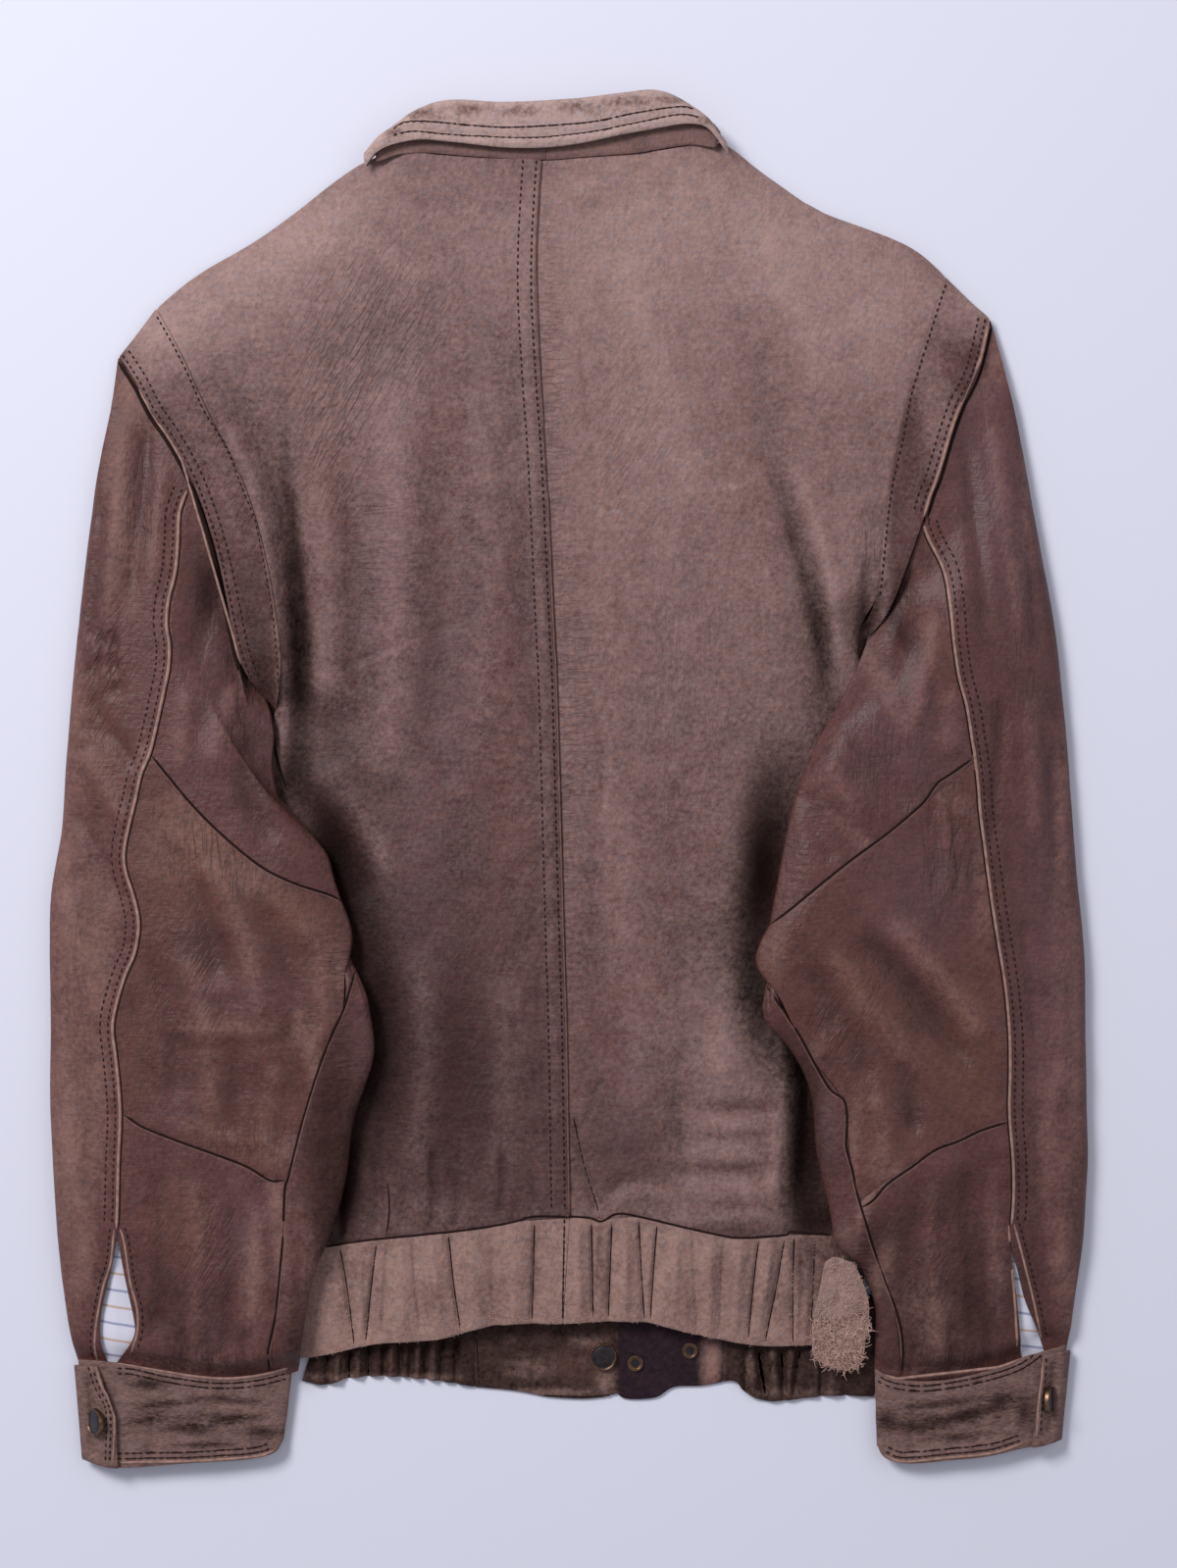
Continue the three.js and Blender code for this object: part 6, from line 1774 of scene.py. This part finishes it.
class JACKET_OT_stitching(bpy.types.Operator):
    """Lay the folded seam edges, dark tubes of painted shade along the seams, folds and gathers, and the
    rows of stitches
    """

    bl_idname = "jacket.stitching"
    bl_label = "Stitching"

    def execute(self, context):
        settings = context.scene.jacket
        made = finishes(settings)
        back = [piece("back_left"), piece("back_right")]
        strips = [piece("armhole_strip_left"), piece("armhole_strip_right")]
        outers = [piece("sleeve_outer_left"), piece("sleeve_outer_right")]
        cuffs = [piece("cuff_left"), piece("cuff_right")]
        bands = [piece("waistband_back_left"), piece("waistband_back_right")]
        parts = ("upper", "elbow", "forearm")
        middles = [piece(f"sleeve_{part}_{side}") for part in parts for side in SIDES]
        underarms = [piece("sleeve_underarm_left"), piece("sleeve_underarm_right")]
        sleeves = outers + middles + underarms
        tabs = [piece("cuff_tab_left"), piece("cuff_tab_right")]
        welt("folded_edge_back", [(CENTRE_SEAM, -0.4, 0.45)], back, made["seam_edge"])
        armhole_edges = [(ARMHOLE_LEFT, 0.6, 0.75), (ARMHOLE_RIGHT, -1.0, 0.95)]
        welt("folded_edge_armholes", armhole_edges, strips, made["edge"])
        piped_edges = [(PIPED_LEFT, -0.7, 1.0), (PIPED_RIGHT, 0.7, 1.0)]
        welt("folded_edge_sleeves", piped_edges, sleeves, made["edge"])
        slit_edges = [(line, side, 0.75) for line, side in zip(SLIT_EDGES, (-1.4, 1.0, -1.0, 1.0))]
        welt("folded_edge_slits", slit_edges, sleeves, made["edge"])
        cuff_edges = [(CUFF_TOP_LEFT, -0.6, 0.85), (CUFF_TOP_RIGHT, -0.6, 0.85)]
        cuff_edges += [(CUFF_BOTTOM_LEFT, 0.8, 0.8), (CUFF_BOTTOM_RIGHT, 0.8, 0.8)]
        welt("folded_edge_cuffs", cuff_edges, cuffs, made["edge"])
        welt("folded_edge_tabs", [(line, 0.0, 0.7) for line in TAB_EDGES], tabs, made["edge"])
        plain_seams = [
            (UPPER_DIAGONAL_LEFT, -1.1, 0.4), (UPPER_DIAGONAL_RIGHT, 1.1, 0.4),
            (LOWER_DIAGONAL_LEFT, -1.1, 0.4), (LOWER_DIAGONAL_RIGHT, 1.1, 0.4),
            (INNER_SEAM_LEFT, 1.1, 0.45), (INNER_SEAM_RIGHT, -1.1, 0.45),
        ]
        welt("seam_edges_sleeves", plain_seams, sleeves, made["seam_edge"], 0.45)
        # Painted shade along the sleeve seams, with the dark gap of each seam, and beside the armhole
        # strips.
        seam_lines = [(line, 0.0, 0.8) for line, _, _ in plain_seams]
        seam_lines += [(PIPED_LEFT, 0.5, 0.6), (PIPED_RIGHT, -0.5, 0.6)]
        seam_lines += [(ARMHOLE_LEFT, -1.2, 1.3), (ARMHOLE_RIGHT, 1.4, 0.9)]
        welt("seam_shade_lines_sleeves", seam_lines, sleeves, made["groove"], 0.2)
        # Painted shade along the folds of the back.
        folds = [(line, 0.0, radius) for line, radius in zip(FOLD_LINES, (0.9, 0.5, 0.5))]
        welt("fold_shade_lines_back", folds, back + strips, made["groove"], 0.2)
        # Painted shade in the gathers of the waistband.
        gathers = [(line, 0.0, 0.55) for height, _, line in BAND_CREASES if height < -0.8 * MM]
        welt("gather_shade_lines_band", gathers, bands, made["groove"], 0.3)
        # Painted shade along the seam where the back meets the waistband.
        welt("seam_shade_line_band", [(BAND_TOP, 0.0, 0.75)], back + bands, made["groove"], 0.25)
        rows = {
            "back": ([(CENTRE_SEAM, -2.8), (CENTRE_SEAM, -10.4)], back),
            "armholes": ([
                (ARMHOLE_LEFT, 3.0), (ARMHOLE_LEFT, 7.4), (ARMHOLE_RIGHT, -3.4), (ARMHOLE_RIGHT, -7.4),
                (STRIP_LEFT, -1.8), (STRIP_RIGHT, 1.8),
            ], strips),
            "sleeves": ([
                (PIPED_LEFT, -3.6), (PIPED_LEFT, -8.2), (PIPED_RIGHT, 3.6), (PIPED_RIGHT, 8.2),
            ], sleeves),
            "slits": ([(SLIT_EDGES[0], -4.0), (SLIT_EDGES[1], 3.6), (SLIT_EDGES[3], 4.0)], sleeves),
            "collar": ([(COLLAR_STITCH_LOW, 0.0), (COLLAR_STITCH_HIGH, 0.0)], [piece("collar_fall")]),
            "cuffs": ([
                (CUFF_TOP_LEFT, -3.2), (CUFF_TOP_LEFT, -6.2),
                (CUFF_BOTTOM_LEFT, 3.0), (CUFF_BOTTOM_LEFT, 6.0),
                (CUFF_TOP_RIGHT, -3.2), (CUFF_TOP_RIGHT, -6.2),
                (CUFF_BOTTOM_RIGHT, 3.0), (CUFF_BOTTOM_RIGHT, 6.0),
            ], cuffs),
            "tabs": ([(TAB_EDGES[0], -2.0), (TAB_EDGES[0], -4.4), (TAB_EDGES[1], 2.0)], tabs),
            "band": ([(BAND_CENTRE, -1.4)], bands),
            "front_end": ([(END_SEAM, 1.0), (END_SEAM, 3.4), (END_HEM, 2.0)], [piece("waistband_left_end")]),
        }
        for name, (lines, pieces) in rows.items():
            # Under some rows, a dark tube of painted shade for the stitch groove.
            if name in GROOVE_SHADED_ROWS:
                grooves = [(line, offset, settings.groove_shade_radius / MM) for line, offset in lines]
                welt("stitch_groove_shades_" + name, grooves, pieces, made["groove"], 0.6)
            sew("stitching_" + name, lines, pieces, made["thread"], settings)
        return {"FINISHED"}


CAP_STEPS = ((0.35, 0.0), (0.25, -0.5), (0.9, -0.25), (0.5, 0.25), (2.2, 0.15))
RING_STEPS = ((0.8, 0.0), (0.35, -0.8), (0.6, 0.0))
STUDS = [
    ("waist_stud_cap", CAP_STEPS, 0.86, None, 0.0),
    ("cuff_stud_left", CAP_STEPS, 0.86, (-0.78, 0.0, 0.62), 1.2),
    ("cuff_stud_right", CAP_STEPS, 0.86, (0.9, 0.0, 0.43), -1.0),
    ("waist_stud_ring_1", RING_STEPS, 0.62, None, 0.0),
    ("waist_stud_ring_2", RING_STEPS, 0.62, None, 0.0),
]
STUD_SIDES = 40
STUD_BEVEL = 0.18 * MM


def stud_place(node):
    """A stud's middle, the way it faces, its radius and its height, read from its node."""
    points = coordinates(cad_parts[node].data)
    low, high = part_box(node)
    middle = (np.array(low) + np.array(high)) / 2
    _, _, axes = np.linalg.svd(points - points.mean(axis=0), full_matrices=False)
    facing = Vector(axes[2])
    if facing.z < 0:
        facing = -facing
    along = (points - middle) @ np.array(facing)
    away = np.linalg.norm((points - middle) - np.outer(along, np.array(facing)), axis=1)
    return Vector(middle), facing, away.max(), along.max() - along.min()


def select_top(context):
    """Selects only the smallest of the flat round faces that look up in the mesh being edited."""
    mesh = bmesh.from_edit_mesh(context.object.data)
    bpy.ops.mesh.select_all(action="DESELECT")
    flat = [face for face in mesh.faces if face.normal.z > 0.9 and len(face.verts) == STUD_SIDES]
    min(flat, key=lambda face: face.calc_area()).select_set(True)
    bmesh.update_edit_mesh(context.object.data)


class JACKET_OT_studs(bpy.types.Operator):
    """Model the press studs"""

    bl_idname = "jacket.studs"
    bl_label = "Press studs"

    def execute(self, context):
        made = finishes(context.scene.jacket)
        for node, steps, rim, tilt, drop in STUDS:
            middle, facing, radius, height = stud_place(node)
            if tilt is not None:
                facing = Vector(tilt).normalized()
            middle.z += drop * MM
            bpy.ops.object.select_all(action="DESELECT")
            bpy.ops.mesh.primitive_cylinder_add(vertices=STUD_SIDES, radius=radius, depth=height)
            item = context.object
            item.name = node + "_metal"
            bpy.ops.object.mode_set(mode="EDIT")
            for inset, lift in steps:
                select_top(context)
                bpy.ops.mesh.inset(thickness=inset * MM, depth=lift * MM)
            bpy.ops.object.mode_set(mode="OBJECT")
            edge = item.modifiers.new("rounded", "BEVEL")
            edge.width = STUD_BEVEL
            edge.segments = 2
            edge.limit_method = "ANGLE"
            bpy.ops.object.modifier_apply(modifier="rounded")
            bpy.ops.object.shade_smooth_by_angle(angle=math.radians(40.0))
            turn = facing.to_track_quat("Z", "Y").to_matrix().to_4x4()
            item.data.transform(Matrix.Translation(middle) @ turn)
            item.data.materials.append(made["bronze"])
            item.data.materials.append(made["gunmetal"])
            for face in item.data.polygons:
                offset = Vector(face.center) - middle
                across = (offset - facing * offset.dot(facing)).length
                face.material_index = 1 if across < rim * radius else 0
            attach(item, "root")
            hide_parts(node)
        return {"FINISHED"}


def area_light(name, power, size, place, aim):
    """A soft square light at a place, turned to a point."""
    data = bpy.data.lights.new(name, "AREA")
    data.energy = power
    data.size = size
    item = bpy.data.objects.new(name, data)
    item.location = place
    item.rotation_mode = "QUATERNION"
    item.rotation_quaternion = (Vector(aim) - Vector(place)).to_track_quat("-Z", "Y")
    bpy.context.scene.collection.objects.link(item)
    return item


FLOOR_SIZE = 12.0
FLOOR_DROP = 0.4 * MM


class JACKET_OT_stage(bpy.types.Operator):
    """Set the floor, the lights and the camera"""

    bl_idname = "jacket.stage"
    bl_label = "Stage"

    def execute(self, context):
        scene = context.scene
        settings = scene.jacket
        bpy.ops.object.select_all(action="DESELECT")
        bpy.ops.mesh.primitive_plane_add(size=FLOOR_SIZE, location=(0.0, 0.0, -FLOOR_DROP))
        ground = context.object
        ground.name = "floor"
        ground.data.materials.append(plain("Floor", tuple(settings.floor_tint), 0.9))
        area_light("key", settings.key_power, 1.0, (-1.6, 1.6, 2.1), (0.0, 0.0, 0.0))
        area_light("side", settings.fill_power, 1.6, (1.3, 0.4, 1.5), (0.0, 0.0, 0.0))
        world = bpy.data.worlds.new("Soft room")
        world.use_nodes = True
        sky = world.node_tree.nodes["Background"]
        sky.inputs["Color"].default_value = (0.88, 0.90, 1.0, 1.0)
        sky.inputs["Strength"].default_value = settings.sky
        scene.world = world
        scene.view_settings.view_transform = "Standard"
        data = bpy.data.cameras.new("camera")
        data.sensor_width = SENSOR
        data.lens = SENSOR * (CAMERA_HEIGHT - CAMERA_AIM) / (VIEW_HEIGHT * PLAN_POINT)
        camera = bpy.data.objects.new("camera", data)
        camera.location = (*plan(*VIEW_CENTRE), CAMERA_HEIGHT)
        scene.collection.objects.link(camera)
        scene.camera = camera
        return {"FINISHED"}


class JACKET_PT_panel(bpy.types.Panel):
    """Steps that dress the jacket"""

    bl_label = "Jacket"
    bl_idname = "JACKET_PT_panel"
    bl_space_type = "VIEW_3D"
    bl_region_type = "UI"
    bl_category = "Jacket"

    def draw(self, context):
        layout = self.layout
        for name in JacketSettings.__annotations__:
            layout.prop(context.scene.jacket, name)
        for operator in OPERATORS:
            layout.operator(operator.bl_idname)


OPERATORS = (
    JACKET_OT_fronts,
    JACKET_OT_back,
    JACKET_OT_sleeves,
    JACKET_OT_collar,
    JACKET_OT_waistband,
    JACKET_OT_cuffs,
    JACKET_OT_stitching,
    JACKET_OT_fuzz,
    JACKET_OT_studs,
    JACKET_OT_stage,
)
CLASSES = (JacketSettings, *OPERATORS, JACKET_PT_panel)


def register():
    for item in CLASSES:
        bpy.utils.register_class(item)
    bpy.types.Scene.jacket = PointerProperty(type=JacketSettings)


def unregister():
    del bpy.types.Scene.jacket
    for item in reversed(CLASSES):
        bpy.utils.unregister_class(item)


def main():
    """Dresses the jacket."""
    bpy.context.view_layer.update()
    register()
    bpy.ops.jacket.fronts()
    bpy.ops.jacket.back()
    bpy.ops.jacket.sleeves()
    bpy.ops.jacket.collar()
    bpy.ops.jacket.waistband()
    bpy.ops.jacket.cuffs()
    bpy.ops.jacket.stitching()
    bpy.ops.jacket.fuzz()
    bpy.ops.jacket.studs()
    bpy.ops.jacket.stage()


if __name__ == "__main__":
    main()
